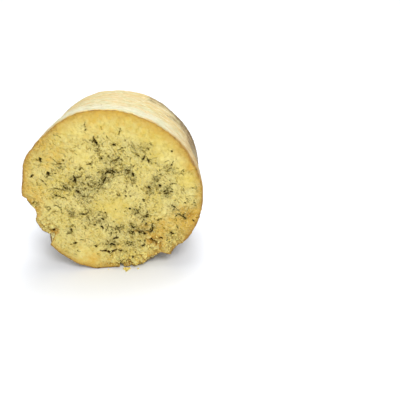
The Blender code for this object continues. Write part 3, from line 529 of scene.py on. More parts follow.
class VeinMap:
    """Every vein of the cut face, grown from the main ones with a seeded draw."""

    def __init__(self, sizes):
        self.pit_depth = sizes.pit_depth
        self.draw = random.Random(41)
        self.points = []
        for ends in VEINS:
            self.grow_main([part * MM for part in ends], 0.0)
        for ends in CRACKS:
            self.grow_main([part * MM for part in ends], 1.0)
        for cloud in CLOUDS:
            self.scatter(cloud)
        self.tree = kdtree.KDTree(len(self.points))
        for number, point in enumerate(self.points):
            self.tree.insert((*point.place, 0), number)
        self.tree.balance()

    def grow(self, start, end, width, power, brown=0.0):
        """A wandering vein, thin at both ends, and ragged along its sides."""
        along = end - start
        steps = max(2, math.ceil(along.length / VEIN_STEP))
        side = along.orthogonal().normalized()
        sway = min(0.0011, 0.16 * along.length + 0.0001)
        seed = Vector((self.draw.uniform(0, 50), self.draw.uniform(0, 50), 0))
        depth = self.pit_depth * width / MM * self.draw.uniform(0.6, 1.25)
        last = start - along / steps
        for step in range(steps + 1):
            share = step / steps
            ragged = noise.noise(Vector((share * along.length / 0.0011, 0, 7)) + seed)
            wander = noise.noise(Vector((share * along.length / 0.0034, 3, 0)) + seed)
            middle = start + along * share + side * (wander * 1.4 * sway)
            taper = 0.2 + 0.8 * math.sin(math.pi * (0.04 + 0.92 * share)) ** 0.7
            half = 0.5 * width * taper * (1 + 0.9 * ragged)
            dark = power * (0.75 + 0.6 * ragged)
            self.points.append(VeinPoint(middle, middle - last, half, depth * taper, dark, brown))
            last = middle

    def grow_main(self, ends, brown):
        """A vein with its twigs, and specks of mould beside it."""
        x0, h0, x1, h1, width = ends
        start, end = Vector((x0, h0)), Vector((x1, h1))
        along = end - start
        power = 0.54 + 0.5 * smooth_step(0.0009, 0.0023, width)
        power += DARK_SIDE * smooth_step(0.01, -0.03, h0) * smooth_step(-0.03, 0.02, x0)
        power = max(brown, power)
        self.grow(start, end, width * MAIN_WIDTH, power, brown)
        for _ in range(self.draw.choice((0, 1, 1, 2)) if along.length > 0.0024 else 1):
            root = start + along * self.draw.uniform(0.15, 0.85)
            turn = self.draw.choice((-1, 1)) * math.radians(self.draw.uniform(35, 100))
            twig = Vector((math.cos(turn), math.sin(turn)))
            reach = min(0.0034, self.draw.uniform(0.3, 0.6) * max(along.length, 1.4 * width))
            heading = along.normalized()
            tip = root + reach * Vector(
                (heading.x * twig.x - heading.y * twig.y, heading.x * twig.y + heading.y * twig.x)
            )
            self.grow(root, tip, width * self.draw.uniform(0.3, 0.6), 0.8 * power, brown)
        for _ in range(self.draw.choice((0, 0, 1))):
            away = Vector((self.draw.gauss(0, 0.0022), self.draw.gauss(0, 0.0022)))
            self.speck(start + along * self.draw.random() + away)

    def speck(self, place):
        turn = self.draw.uniform(0, math.pi)
        reach = self.draw.uniform(0.4, 2.2) * MM
        tip = place + reach * Vector((math.cos(turn), math.sin(turn)))
        self.grow(place, tip, self.draw.uniform(0.25, 0.55) * MM, self.draw.uniform(0.25, 0.7))

    def scatter(self, cloud):
        """Small veins inside a cloud of mould, most of them lying along one direction."""
        x, height, radius, tint, count = cloud
        lie = self.draw.uniform(-0.9, 0.9)
        for _ in range(round(count * min(1.0, 0.4 + tint))):
            place = Vector((self.draw.gauss(x, 0.6 * radius), self.draw.gauss(height, 0.6 * radius)))
            turn = lie + self.draw.gauss(0, 0.7)
            reach = self.draw.choice((0.6, 0.9, 1.3, 1.8, 2.6, 3.6))
            tip = place + reach * Vector((math.cos(turn), math.sin(turn)))
            width = self.draw.uniform(0.35, 0.8) * MM
            self.grow(place * MM, tip * MM, width, self.draw.uniform(0.0, 0.4) + 0.9 * tint)

    def nearest(self, x, height):
        """The gap to the edge of the nearest vein, less than nothing inside it, the way from the
        vein's middle line to this place, and the piece of vein that lies there."""
        best, way, found = 1.0, None, None
        here = Vector((x, height))
        for _, number, _ in self.tree.find_n((x, height, 0), NEIGHBOURS):
            point = self.points[number]
            away = here - point.place
            share = away.dot(point.along) / max(1e-12, point.along.length_squared)
            away -= point.along * min(0.5, max(-0.5, share))
            gap = away.length - point.half_width
            if gap < best:
                best, way, found = gap, away, point
        return best, way, found


def cloudiness(x, height):
    """How strongly the clouds of mould tint the paste here."""
    clear = 1.0
    for middle_x, middle_height, radius, tint, _ in CLOUDS:
        reach = radius * MM
        away = ((x - middle_x * MM) ** 2 + (height - middle_height * MM) ** 2) / (reach * reach)
        if away < 6:
            clear *= 1 - tint * math.exp(-away)
    return 1 - clear


def crumbliness(x, height):
    """How loose and crumbly the face's grain is here."""
    loose = 0.0
    for middle_x, middle_height, radius in CRUMBLY_PARTS:
        away = math.hypot(x / MM - middle_x, height / MM - middle_height) / radius
        loose = max(loose, 1 - smooth_step(0.5, 1.15, away))
    return loose


# Each part of the face that the knife left smooth, in mm: x and height of its middle, and radius.
SMOOTH_PARTS = (
    (-14, 88, 20), (12, 90, 24), (34, 80, 20), (54, 66, 20), (66, 52, 14), (76, 40, 12),
    (-36, 78, 14), (-38, -78, 16), (-6, -18, 14), (6, -10, 9), (-30, 48, 10), (84, 18, 10),
)
LEAST_TORN = 0.3


def tornness(x, height):
    """How torn and flaky the cut paste is here: least where the knife left it smooth."""
    smooth = 0.0
    for middle_x, middle_height, radius in SMOOTH_PARTS:
        away = math.hypot(x / MM - middle_x, height / MM - middle_height) / radius
        smooth = max(smooth, 1 - smooth_step(0.55, 1.3, away))
    return 1 - (1 - LEAST_TORN) * smooth


def grain(place, size):
    """Rounded grains, from 0 in the gaps to about 1 on top."""
    bent = place + noise.noise_vector(place / (1.3 * size)) * (0.35 * size)
    distances, _ = noise.voronoi(bent / size)
    return smooth_step(0.0, 0.3, distances[1] - distances[0])


# Each part of the face painted golden, or with a share under nothing painted pale, in mm: x and
# height of its middle, radius, and share. Most are the paste's own ripening and paleness; the broad
# tan low on the right is partly painted shadow, and pale spots low on the left and on two lumps at
# the foot are painted light.
TINTED_PARTS = (
    (43, -60, 7.5, 1.9), (47, -67, 5, 0.9), (36, -42, 13, 0.42), (54, -40, 14, 0.4), (64, -26, 12, 0.3), (24, -32, 12, 0.2), (31, -83, 6, 0.9), (36, -85, 5, 0.6), (24, -83, 4, 0.5),
    (2, -88, 6, 0.6), (-10, -88, 5, 0.6), (-31, -81, 9, 0.55), (-42, -52, 14, 0.24), (-78, -31, 7, 0.5),
    (-90, -14, 6, 0.5), (87, -25, 10, 0.9), (77, -16, 8, 0.4), (87, 34, 7, 0.5), (-60, -64, 9, 0.3),
    (-8, -88, 16, 0.35), (-32, -62, 14, 0.1), (-14, 88, 18, 0.35), (14, 90, 18, 0.35), (46, 74, 16, 0.3), (74, -34, 12, 0.36),
    (-86, 12, 14, 0.35), (-62, 52, 14, 0.3), (0, -66, 8, 0.35), (0, 26, 8, 0.25), (50, -58, 16, 0.3),
    (-70, 44, 20, 0.22), (-82, -2, 14, 0.25), (-64, -44, 11, -0.25), (-62, -64, 12, -0.1), (76, 24, 12, -0.2), (18.5, -87, 4, -0.9), (6, -79, 5, -0.4), (60, 0, 18, -0.25), (38, 42, 18, -0.3), (-44, 56, 16, 0.2), (-36, -78, 14, 0.12), (27, -86, 5, 0.8), (22, -88, 4, 0.5), (12, 50, 14, -0.25),
)


def tint(x, height):
    """How golden the paste is painted here, less than nothing where it is painted pale: mostly its own
    ripening, partly painted shadow and painted light.
    """
    total = 0.0
    for middle_x, middle_height, radius, share in TINTED_PARTS:
        away = math.hypot(x / MM - middle_x, height / MM - middle_height) / radius
        if away < 2.5:
            total += share * math.exp(-(away**2))
    return total


# The ways that the torn flakes lie, in degrees, and the seeds of their patches.
FLAKE_LIES = ((8, 1.7), (64, 6.1), (-48, 9.4))
FLAKE_LENGTH = 0.0062
FLAKE_WIDTH = 0.0024


def flakes(x, height):
    """Thin torn flakes, each patch lying its own way: from about -1 in a tear to 1 on a flake."""
    total = 0.0
    for lie, seed in FLAKE_LIES:
        turn = math.radians(lie)
        along = (x * math.cos(turn) + height * math.sin(turn)) / FLAKE_LENGTH
        across = (height * math.cos(turn) - x * math.sin(turn)) / FLAKE_WIDTH
        patch = noise.noise(Vector((x / 0.016, height / 0.016, seed)))
        total += smooth_step(-0.15, 0.3, patch) * noise.noise(Vector((along, across, seed)))
    return total


# How the width of the ripened band under the rind changes: angle and half width in degrees, and
# how many times wider or narrower it is, as a power of two.
RIPE_PARTS = ((203, 13, -1.6), (256, 16, -0.3), (336, 13, 1.3), (30, 14, 0.4), (4, 16, -0.4), (188, 6, 0.5))


def ripeness(angle):
    """How wide the ripened band is at this angle, compared with its usual width."""
    return 2 ** sum(
        power * math.exp(-((degrees_between(angle, centre) / width) ** 2))
        for centre, width, power in RIPE_PARTS
    )


# Where the rind's rubbed lower sides and their painted shade fade out, in degrees above the drum's axis.
WEAR_AND_SHADE_STARTS = 54
WEAR_AND_SHADE_FULL = 14
# Where the dusky skin and the painted shade of the sides begin, in mm behind the cut edge: at the
# height of the axis, and for each degree above it.
DUSK_START = 18
DUSK_RISE = 1.45
DUSK_SOFTNESS = 32
# How far the dusky skin's edge wanders in mm, how wide its blotches are as a share of the drum's
# radius, and how dusky the middle of the drum's own end is.
DUSK_WAVES = 34
DUSK_BLOTCH = 0.32
END_DUSK = 0.5
END_DUSK_WAVES = 0.5
PIT_SPACING = 0.0075
BITE_GRAIN = 0.0022  # how deep the torn grain inside a bite is
DOWN = 270


def rise(angle):
    """How many degrees above the drum's axis a place at this angle is, on either side."""
    return degrees_between(angle, DOWN) - 90


def weathering_and_right_shade(angle):
    """How strongly the rind's side is darkened at this angle: weathered all round, with painted shade most on
    the right.
    """
    return 0.8 + 0.2 * math.cos(math.radians(angle))


def wear(angle):
    """How rubbed the rind is at this angle, from 0 to 1, with painted shade on its lower sides, most on the
    right.
    """
    return weathering_and_right_shade(angle) * (1 - smooth_step(WEAR_AND_SHADE_FULL, WEAR_AND_SHADE_STARTS, rise(angle)))


class Carver:
    """Moves the points of a plain drum to where they lie on the cheese, and notes what is there."""

    def __init__(self, sizes):
        self.form = Form(sizes)
        self.veins = VeinMap(sizes)
        self.wrinkle = sizes.wrinkle_height
        self.grain_height = sizes.grain_height
        self.flake_height = sizes.flake_height
        self.crease_depth = sizes.crease_depth
        self.rings = self.stations(sizes.side_rings)

    def stations(self, side_rings):
        """The depth and the inset of each ring, from the cut edge to the edge of the drum's own end."""
        form = self.form
        side_length = form.depth - form.edge_radius
        rings = [(0.0, form.inset)]
        rings += [(side_length * ((i + 1) / side_rings) ** 1.15, 0.0) for i in range(side_rings)]
        edge_rings = 14
        for i in range(edge_rings):
            turn = math.pi / 2 * (i + 1) / edge_rings
            depth = side_length + form.edge_radius * math.sin(turn)
            rings.append((depth, form.edge_radius * (1 - math.cos(turn))))
        return rings

    def chips(self, angle, depth):
        """Small chips out of the cut edge, and the ragged line of its rind."""
        turn = math.radians(angle)
        place = Vector((math.cos(turn), math.sin(turn), depth / self.form.radius)) * self.form.radius
        ragged = layered(place, ((0.0007, 0.0085), (0.0005, 0.0034), (0.0003, 0.0015)), END_SEED)
        return ragged * (1 - smooth_step(0.0, 0.006, depth))

    def face_radius(self, angle):
        """The radius of the cut face's own rim at this angle."""
        rim = self.form.rim_radius(angle, 0) - self.form.inset + self.chips(angle, 0)
        down = -math.sin(math.radians(angle))
        return min(rim, self.form.axis_height / down) if down > 0 else rim

    def on_disc(self, x, height):
        """Where this place on the cut face lies on the disc of radius 1: nowhere close to its rim."""
        away = math.hypot(x, height)
        rim = self.face_radius(math.degrees(math.atan2(height, x)))
        if away > rim - CLEAR_RIM:
            return None
        return Vector((x, height)) * (self.form.disc_share(away, rim) / away) if away else Vector((0, 0))

    def dryness_and_side_shade(self, angle, depth, share):
        """How dry the rind is, most at its own end, and along its worn sides, which also carry painted shade,
        most on the right.
        """
        back = smooth_step(0.1, 1.0, depth / self.form.depth)
        return 0.35 * share * back + 0.25 * (1 - share) + 0.95 * wear(angle)

    def dusk_and_side_shade(self, angle, depth, share):
        """How grey and brown the rind is along its lower sides and on its own end, from 0 to 1: dusky skin,
        with painted shade on the sides, most on the right.
        """
        turn = math.radians(angle)
        place = Vector((math.cos(turn), depth / self.form.radius, math.sin(turn))) * (share / DUSK_BLOTCH)
        past = depth / MM - DUSK_START - DUSK_RISE * rise(angle) + DUSK_WAVES * noise.noise(place)
        side = weathering_and_right_shade(angle) * smooth_step(-DUSK_SOFTNESS, DUSK_SOFTNESS, past)
        middle = END_DUSK + END_DUSK_WAVES * noise.noise(place + END_SEED)
        return middle + (side - middle) * share**2

    def rind_detail(self, x, y, z, depth, dusk):
        """Wrinkles along the drum's turn, with a dry skin over them that is pitted where it is dusky."""
        folds = 1.5 * noise.noise(stretched(x, y, z, 0.052, 0.0075))
        wrinkles = noise.noise(stretched(x, y, z, 0.024, 0.0026))
        ripples = 0.55 * noise.noise(stretched(x, y, z, 0.013, 0.0013) + END_SEED)
        skin = 0.5 * noise.noise(Vector((x, y, z)) / 0.0031) + 0.3 * noise.noise(Vector((x, y, z)) / 0.0014)
        fade = smooth_step(0.0, 0.004, depth)
        distances, _ = noise.voronoi(Vector((x, y, z)) / PIT_SPACING)
        pit = 1 - smooth_step(0.08, 0.36, distances[0])
        skin = skin * (1 + 1.4 * dusk) - 1.5 * dusk * pit
        return self.wrinkle * (fade * (folds + wrinkles + ripples) + skin)

    def face_detail(self, x, height):
        """How far the face is sunk by veins and grain here, and what is painted from it."""
        gap, way, point = self.veins.nearest(x, height)
        place = Vector((x, height, 0))
        pit = point.depth * (1 - smooth_step(-0.0004, 0.00035, gap))
        lip = 0.00016 * math.exp(-(((gap - 0.0007) / 0.0005) ** 2))
        cloud = cloudiness(x, height)
        loose = crumbliness(x, height)
        joint = 1 - grain(place + RELIEF_SEED * 0.01, 0.0066)
        hollow = 1 - 0.62 * grain(place, 0.0042) - 0.38 * grain(place, 0.0022)
        crease, under = self.form.lump_foot(x, height)
        lumps = self.grain_height * loose * (hollow - 0.45) + self.crease_depth * crease
        roughened = tornness(x, height) * (0.7 + max(0.6 * cloud, 1.4 * loose))
        torn = -self.flake_height * roughened * flakes(x, height)
        fine = layered(place, ((0.00022, 0.0045), (0.00014, 0.0018)), END_SEED)
        sunk = pit - lip + (0.00016 + 0.00028 * cloud) * joint + lumps + torn + fine
        notes = {
            "vein_mm": min(4.0, max(-1.5, gap / MM)),
            "vein_x_mm": way.x / MM,
            "vein_z_mm": way.y / MM,
            "vein_half_mm": point.half_width / MM,
            "vein_power": point.power,
            "crack": point.brown,
            "cloud": cloud,
            "torn": tornness(x, height),
            # Darkened joints between grains, most in the mould's clouds, and painted shade in the gaps of the
            # crumbly grain; painted highlight on its crests.
            "valley": max(0.6 * joint * (0.3 + 0.7 * cloud), loose * smooth_step(0.3, 1.0, hollow)),
            "crest": loose * (1 - smooth_step(0.0, 0.42, hollow)),
            # Painted shade in the crease round a lump and on its underside.
            "crease": crease,
            "under": under,
            "tint": tint(x, height),
        }
        return sunk, notes

    def carve(self, vert, layers):
        """Where a point of the plain drum lies, with its notes for the paints."""
        form = self.form
        blank = vert.co
        ring = round(blank.y)
        share = math.hypot(blank.x, blank.z)
        angle = math.degrees(math.atan2(blank.z, blank.x))
        depth, inset = self.rings[ring]
        rim = form.rim_radius(angle, depth) - inset + self.chips(angle, depth)
        turn = math.radians(angle)
        dusk = self.dusk_and_side_shade(angle, depth, share)
        on_side = share > 0.9999
        if on_side and ring > 0:
            y = form.face_y + depth
            here = Vector((rim * math.cos(turn), y, rim * math.sin(turn)))
            torn = smooth_step(0.0004, 0.002, form.bite(angle, depth))
            rim += (1 - torn) * self.rind_detail(*here, depth, dusk)
            rim -= torn * BITE_GRAIN * (1 - 0.6 * grain(here, 0.0075) - 0.4 * grain(here, 0.0036))
        if math.sin(turn) < 0:
            rim = min(rim, form.axis_height / -math.sin(turn))
        radius = form.disc_radius(share, rim)
        x = radius * math.cos(turn)
        height = radius * math.sin(turn)
        follow = 1 - smooth_step(0, FACE_RELIEF_REACH, depth)
        if ring < len(self.rings) - 1 and follow > 0:
            waves = layered(Vector((x, 0, height)), FACE_RELIEF, RELIEF_SEED)
            recess = form.seam_depth(x, height) + form.patch_depth(x, height)
            proud = form.lump_height(x, height)
            depth += follow * (waves + recess - proud)
            vert[layers["recess_mm"]] = recess / MM
            vert[layers["proud_mm"]] = proud / MM
            if ring == 0:
                sunk, notes = self.face_detail(x, height)
                depth += smooth_step(-0.0006, 0.0016, rim - radius) * sunk
                for name, value in notes.items():
                    vert[layers[name]] = value
        if ring == len(self.rings) - 1:
            depth -= form.end_relief(x, height, share)
            place = Vector((x, 0, height))
            depth += (1 - share**6) * self.wrinkle * 3 * layered(
                place, ((1.0, 0.011), (0.6, 0.0052)), END_SEED
            )
        vert[layers["rim_mm"]] = (rim - radius) / MM
        vert[layers["ripe_mm"]] = (rim - radius) / MM / ripeness(angle)
        vert[layers["behind_mm"]] = self.rings[ring][0] / MM
        vert[layers["dry"]] = self.dryness_and_side_shade(angle, self.rings[ring][0], share)
        vert[layers["dusk"]] = dusk
        vert[layers["wear"]] = wear(angle)
        vert[layers["low"]] = 1 - smooth_step(26, 78, rise(angle))
        vert[layers["bite_mm"]] = form.bite(angle, self.rings[ring][0]) / MM
        vert.co = Vector((form.axis_x + x, form.face_y + depth, form.axis_height + height))


NOTES = (
    "vein_mm", "vein_x_mm", "vein_z_mm", "vein_half_mm", "vein_power", "crack", "cloud", "torn", "valley",
    "crest", "crease", "under", "tint", "recess_mm", "proud_mm", "rim_mm", "ripe_mm", "bite_mm", "dry", "dusk", "wear", "low", "behind_mm",
)


def even_points(radius, spacing, seed):
    """Points spread evenly over a disc of radius 1 that stands for one of this radius."""
    draw = random.Random(seed)
    rings = round(radius / spacing)
    points = [Vector((0, 0))]
    for ring in range(1, rings):
        count = round(2 * math.pi * ring)
        start = draw.random() * 2 * math.pi
        for i in range(count):
            turn = start + (i + draw.uniform(-0.25, 0.25)) * 2 * math.pi / count
            away = (ring + draw.uniform(-0.25, 0.25)) / rings
            points.append(Vector((away * math.cos(turn), away * math.sin(turn))))
    return points


def lattice(radius, step):
    """Points in staggered rows over a disc of this radius."""
    rise = step * math.sqrt(3) / 2
    rows = math.ceil(radius / rise)
    for row in range(-rows, rows + 1):
        height = row * rise
        reach = math.ceil(math.sqrt(max(0, radius**2 - height**2)) / step)
        for i in range(-reach, reach + 1):
            x = (i + 0.5 * (row % 2)) * step
            if math.hypot(x, height) < 0.992 * radius:
                yield x, height


NEAR_VEIN = 0.0007
CLEAR_RIM = 0.0008


def face_places(sizes, carver):
    """Places inside the cut face: closest near the veins, and close where it is crumbly."""
    radius = carver.form.radius + 0.003

    def gap(place):
        return carver.veins.nearest(*place)[0]

    for point in even_points(radius, sizes.face_spacing, 4):
        place = point * radius
        if gap(place) > NEAR_VEIN and crumbliness(*place) < 0.5:
            yield place
    for place in lattice(radius, sizes.crumb_spacing):
        if gap(place) > NEAR_VEIN and crumbliness(*place) >= 0.5:
            yield place
    for place in lattice(radius, sizes.vein_spacing):
        if gap(place) <= NEAR_VEIN:
            yield place


def column_turns(sizes, carver):
    """The angle of each column of points round the rind: twice as close where the rim is bitten."""
    turns = []
    step = 360 / sizes.columns
    angle = 0.0
    while angle < 360 - 0.25 * step:
        turns.append(math.radians(angle))
        angle += 0.5 * step if carver.form.bite(angle, 0) > 0 else step
    return turns


def add_end(bm, station, rim, inner):
    """One flat end of the plain drum: a net of triangles inside its rim."""
    loop = [(i, (i + 1) % len(rim)) for i in range(len(rim))]
    points, _, faces, *_ = geometry.delaunay_2d_cdt(rim + inner, loop, [], 0, 1e-6)
    verts = [bm.verts.new((p.x, station, p.y)) for p in points]
    for face in faces:
        bm.faces.new([verts[i] for i in face])


def plain_drum(sizes, carver):
    """A drum of radius 1. Its Y is the number of the ring, and its ends are nets of triangles."""
    bm = bmesh.new()
    rim = [Vector((math.cos(turn), math.sin(turn))) for turn in column_turns(sizes, carver)]
    inner = [carver.on_disc(*place) for place in face_places(sizes, carver)]
    add_end(bm, 0, rim, [point for point in inner if point])
    loop = [edge for edge in bm.edges if edge.is_boundary]
    for _ in range(len(carver.rings) - 1):
        made = bmesh.ops.extrude_edge_only(bm, edges=loop)["geom"]
        ring = [item for item in made if isinstance(item, bmesh.types.BMVert)]
        bmesh.ops.translate(bm, verts=ring, vec=(0, 1, 0))
        loop = [item for item in made if isinstance(item, bmesh.types.BMEdge) and item.is_boundary]
    add_end(bm, len(carver.rings) - 1, rim, even_points(carver.form.radius, sizes.end_spacing, 9))
    bmesh.ops.remove_doubles(bm, verts=bm.verts, dist=1e-5)
    bmesh.ops.recalc_face_normals(bm, faces=bm.faces)
    return bm


def add_piece(name, mesh, materials):
    """Puts a mesh in the scene as one piece of the cheese."""
    for material in materials:
        mesh.materials.append(material)
    piece = bpy.data.objects.new(name, mesh)
    bpy.context.scene.collection.objects.link(piece)
    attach(piece, BODY)
    return piece


class Wiring:
    """Adds nodes to a material or a group, and wires each one as it is made."""

    def __init__(self, tree):
        self.tree = tree

    def feed(self, socket, value):
        if isinstance(value, bpy.types.NodeSocket):
            self.tree.links.new(value, socket)
        elif value is not None:
            socket.default_value = value

    def node(self, kind, feeds=None, **settings):
        made = self.tree.nodes.new(kind)
        for name, value in settings.items():
            setattr(made, name, value)
        for socket, value in (feeds or {}).items():
            self.feed(made.inputs[socket], value)
        return made

    def place(self):
        """Where a point lies, in metres."""
        return self.node("ShaderNodeTexCoord").outputs["Object"]

    def note(self, name):
        """A number kept on the mesh's points."""
        return self.node("ShaderNodeAttribute", attribute_name=name).outputs["Fac"]

    def math(self, operation, first, second=None):
        return self.node("ShaderNodeMath", {0: first, 1: second}, operation=operation).outputs[0]

    def add(self, first, second):
        return self.math("ADD", first, second)

    def times(self, first, second):
        return self.math("MULTIPLY", first, second)

    def ease(self, value, low, high, start=0.0, end=1.0):
        """From start where the value is low to end where it is high, with a soft turn at both."""
        feeds = {"Value": value, "From Min": low, "From Max": high, "To Min": start, "To Max": end}
        made = self.node("ShaderNodeMapRange", feeds, interpolation_type="SMOOTHSTEP")
        return made.outputs["Result"]

    def blend(self, share, first, second, kind="MIX"):
        feeds = {0: share, 6: self.opaque(first), 7: self.opaque(second)}
        made = self.node("ShaderNodeMix", feeds, data_type="RGBA", blend_type=kind, clamp_factor=True)
        return made.outputs[2]

    def opaque(self, paint_or_socket):
        if isinstance(paint_or_socket, bpy.types.NodeSocket):
            return paint_or_socket
        return (*paint_or_socket[:3], 1.0)

    def clamp(self, value):
        return self.node("ShaderNodeClamp", {"Value": value}).outputs["Result"]

    def mix(self, share, first, second):
        """From the first number to the second."""
        feeds = {0: share, 2: first, 3: second}
        return self.node("ShaderNodeMix", feeds, data_type="FLOAT").outputs[0]

    def stretch(self, place, x, y, z):
        feeds = {0: place, 1: (x, y, z)}
        return self.node("ShaderNodeVectorMath", feeds, operation="MULTIPLY").outputs[0]

    def shift(self, place, distance):
        feeds = {0: place, 1: (distance, distance, distance)}
        return self.node("ShaderNodeVectorMath", feeds, operation="ADD").outputs[0]

    def turn(self, place, degrees):
        """The place, turned about the drum's own direction."""
        feeds = {"Vector": place, "Angle": math.radians(degrees)}
        return self.node("ShaderNodeVectorRotate", feeds, rotation_type="Y_AXIS").outputs[0]

    def bend(self, place, size, distance):
        """The place, moved about by up to about this distance in waves of this size."""
        feeds = {"Vector": place, "Scale": 1 / size, "Detail": 2.0}
        waves = self.node("ShaderNodeTexNoise", feeds).outputs["Color"]
        feeds = {0: waves, 1: (2 * distance,) * 3, 2: (-distance,) * 3}
        moved = self.node("ShaderNodeVectorMath", feeds, operation="MULTIPLY_ADD").outputs[0]
        return self.node("ShaderNodeVectorMath", {0: place, 1: moved}, operation="ADD").outputs[0]

    def noise(self, place, size, detail=3.0, rough=0.55):
        """Soft noise, from 0 to 1, whose features are about this size in metres."""
        feeds = {"Vector": place, "Scale": 1 / size, "Detail": detail, "Roughness": rough}
        return self.node("ShaderNodeTexNoise", feeds).outputs["Fac"]

    def cells(self, place, size, feature="F1"):
        feeds = {"Vector": place, "Scale": 1 / size}
        return self.node("ShaderNodeTexVoronoi", feeds, feature=feature)

    def group(self, tree, feeds):
        made = self.node("ShaderNodeGroup", node_tree=tree)
        for socket, value in feeds.items():
            self.feed(made.inputs[socket], value)
        return made


def new_group(name, inputs, outputs):
    """An empty shader group with named inputs and outputs."""
    tree = bpy.data.node_groups.new(name, "ShaderNodeTree")
    for label, kind, default in inputs:
        socket = tree.interface.new_socket(label, in_out="INPUT", socket_type=kind)
        if default is not None:
            socket.default_value = default
    for label, kind in outputs:
        tree.interface.new_socket(label, in_out="OUTPUT", socket_type=kind)
    wires = Wiring(tree)
    return tree, wires, wires.node("NodeGroupInput").outputs, wires.node("NodeGroupOutput").inputs


def curd_grain_group():
    """Curd pressed into paste: pale nuggets, torn flakes that lie several ways, and tiny holes."""
    tree, wires, given, result = new_group(
        "Curd Grain",
        [
            ("Place", "NodeSocketVector", None),
            ("Pale", "NodeSocketColor", None),
            ("Deep", "NodeSocketColor", None),
            ("Shade", "NodeSocketColor", None),
            ("Torn", "NodeSocketFloat", 1.0),
        ],
        [("Color", "NodeSocketColor"), ("Height", "NodeSocketFloat")],
    )
    place = wires.bend(given["Place"], 0.0075, 0.0022)
    broad = wires.noise(place, 0.021, 3.0)
    mottle = wires.noise(place, 0.0046, 4.0, 0.6)
    speckle = wires.noise(place, 0.0010, 3.0, 0.6)
    flake = None
    for number, lie in enumerate((10, 66, -47)):
        turned = wires.turn(place, lie)
        layer = wires.noise(wires.stretch(turned, 0.42, 0.6, 1.0), 0.0019, 4.0, 0.6)
        if flake is None:
            flake = layer
            continue
        patch = wires.noise(wires.shift(place, 0.31 * number), 0.009, 2.0)
        share = wires.ease(patch, 0.44, 0.56)
        flake = wires.mix(share, flake, layer)
    # Painted shade in the tears, which the height sinks, and painted highlight on the flakes' raised lips.
    tear = wires.times(wires.ease(flake, 0.38, 0.45, 1.0, 0.0), given["Torn"])
    lip = wires.times(wires.ease(flake, 0.52, 0.62), given["Torn"])
    # Tiny holes, sunk and painted a little darker as shade.
    holes = wires.ease(wires.cells(place, 0.0036).outputs["Distance"], 0.04, 0.11, 1.0, 0.0)
    tone = wires.add(wires.ease(broad, 0.32, 0.68, 0.15, 0.7), wires.times(wires.add(mottle, -0.5), 1.6))
    tone = wires.add(tone, wires.times(lip, -1.1))
    base = wires.blend(wires.clamp(tone), given["Pale"], given["Deep"])
    dark = wires.clamp(wires.add(wires.times(tear, 0.95), wires.times(holes, 0.25)))
    wires.feed(result["Color"], wires.blend(dark, base, given["Shade"]))
    height = wires.add(wires.times(mottle, 0.5), wires.times(speckle, 0.35))
    height = wires.add(height, wires.add(wires.times(lip, 0.5), wires.times(tear, -0.8)))
    wires.feed(result["Height"], wires.add(height, wires.times(holes, -0.4)))
    return tree


def group_named(name, build):
    return bpy.data.node_groups.get(name) or build()


def new_material(name):
    material = bpy.data.materials.new(name)
    material.use_nodes = True
    shader = material.node_tree.nodes["Principled BSDF"]
    shader.inputs["Metallic"].default_value = 0.0
    shader.inputs["Specular IOR Level"].default_value = 0.14
    return material, Wiring(material.node_tree), shader


def bump(wires, shader, height, distance):
    feeds = {"Height": height, "Distance": distance, "Strength": 1.0}
    wires.feed(shader.inputs["Normal"], wires.node("ShaderNodeBump", feeds).outputs["Normal"])


VEIN_MARGIN = 0.45  # mm: a vein's middle line lies no further than this from a point of the mesh


def mould_threads(wires, place):
    """Thin broken lines of mould in the joints between grains of curd, from 0 to 1."""
    bent = wires.bend(place, 0.0042, 0.0018)
    drawn = []
    for size, width, number in ((0.0050, 0.10, 1), (0.0028, 0.13, 2)):
        moved = wires.shift(bent, 0.17 * number)
        joint = wires.cells(moved, size, "DISTANCE_TO_EDGE").outputs["Distance"]
        unlike = wires.noise(moved, 0.0011, 3.0, 0.6)
        line = wires.ease(wires.add(joint, wires.times(wires.add(unlike, -0.5), 0.22)), 0.0, width, 1.0, 0.0)
        broken = wires.ease(wires.noise(wires.shift(place, 0.4 * number), 0.0034, 2.0), 0.47, 0.56)
        drawn.append(wires.times(line, broken))
    return wires.math("MAXIMUM", drawn[0], wires.times(drawn[1], 0.8))


def vein_edge(wires):
    """The gap in mm to the edge of the nearest vein. The way to its middle line is kept on the mesh
    and turns about as it crosses the line, so that even a vein between two points shows whole."""
    way = wires.node("ShaderNodeCombineXYZ", {"X": wires.note("vein_x_mm"), "Z": wires.note("vein_z_mm")})
    away = wires.node("ShaderNodeVectorMath", {0: way.outputs[0]}, operation="LENGTH").outputs["Value"]
    fine = wires.math("SUBTRACT", away, wires.note("vein_half_mm"))
    return wires.math("MAXIMUM", fine, wires.add(wires.note("vein_mm"), -VEIN_MARGIN))


def painted_foot_shadow(wires, place, base, colours):
    """Painted contact shadow: brown in the lowest few millimetres, where the drum rests."""
    height = wires.node("ShaderNodeSeparateXYZ", {"Vector": place}).outputs["Z"]
    ragged = wires.times(wires.add(wires.noise(place, 0.005, 3.0), -0.5), 0.004)
    return wires.blend(wires.ease(wires.add(height, ragged), 0.0002, 0.0026, 0.85, 0.0), base, colours.foot)


def ripened_rim(wires, place, rim, base, colours):
    """Butter-orange paste towards the rind, deepest in patches at its edge."""
    uneven = wires.noise(place, 0.012, 3.0)
    blotch = wires.noise(place, 0.0046, 3.0, 0.6)
    wide = wires.ease(wires.add(rim, wires.times(wires.add(uneven, -0.5), 14.0)), 1.0, 12.5, 0.85, 0.0)
    base = wires.blend(wide, base, colours.rim)
    close = wires.add(rim, wires.times(wires.add(blotch, -0.5), 7.0))
    return wires.blend(wires.ease(close, -0.2, 3.4, 0.8, 0.0), base, colours.rim_deep)


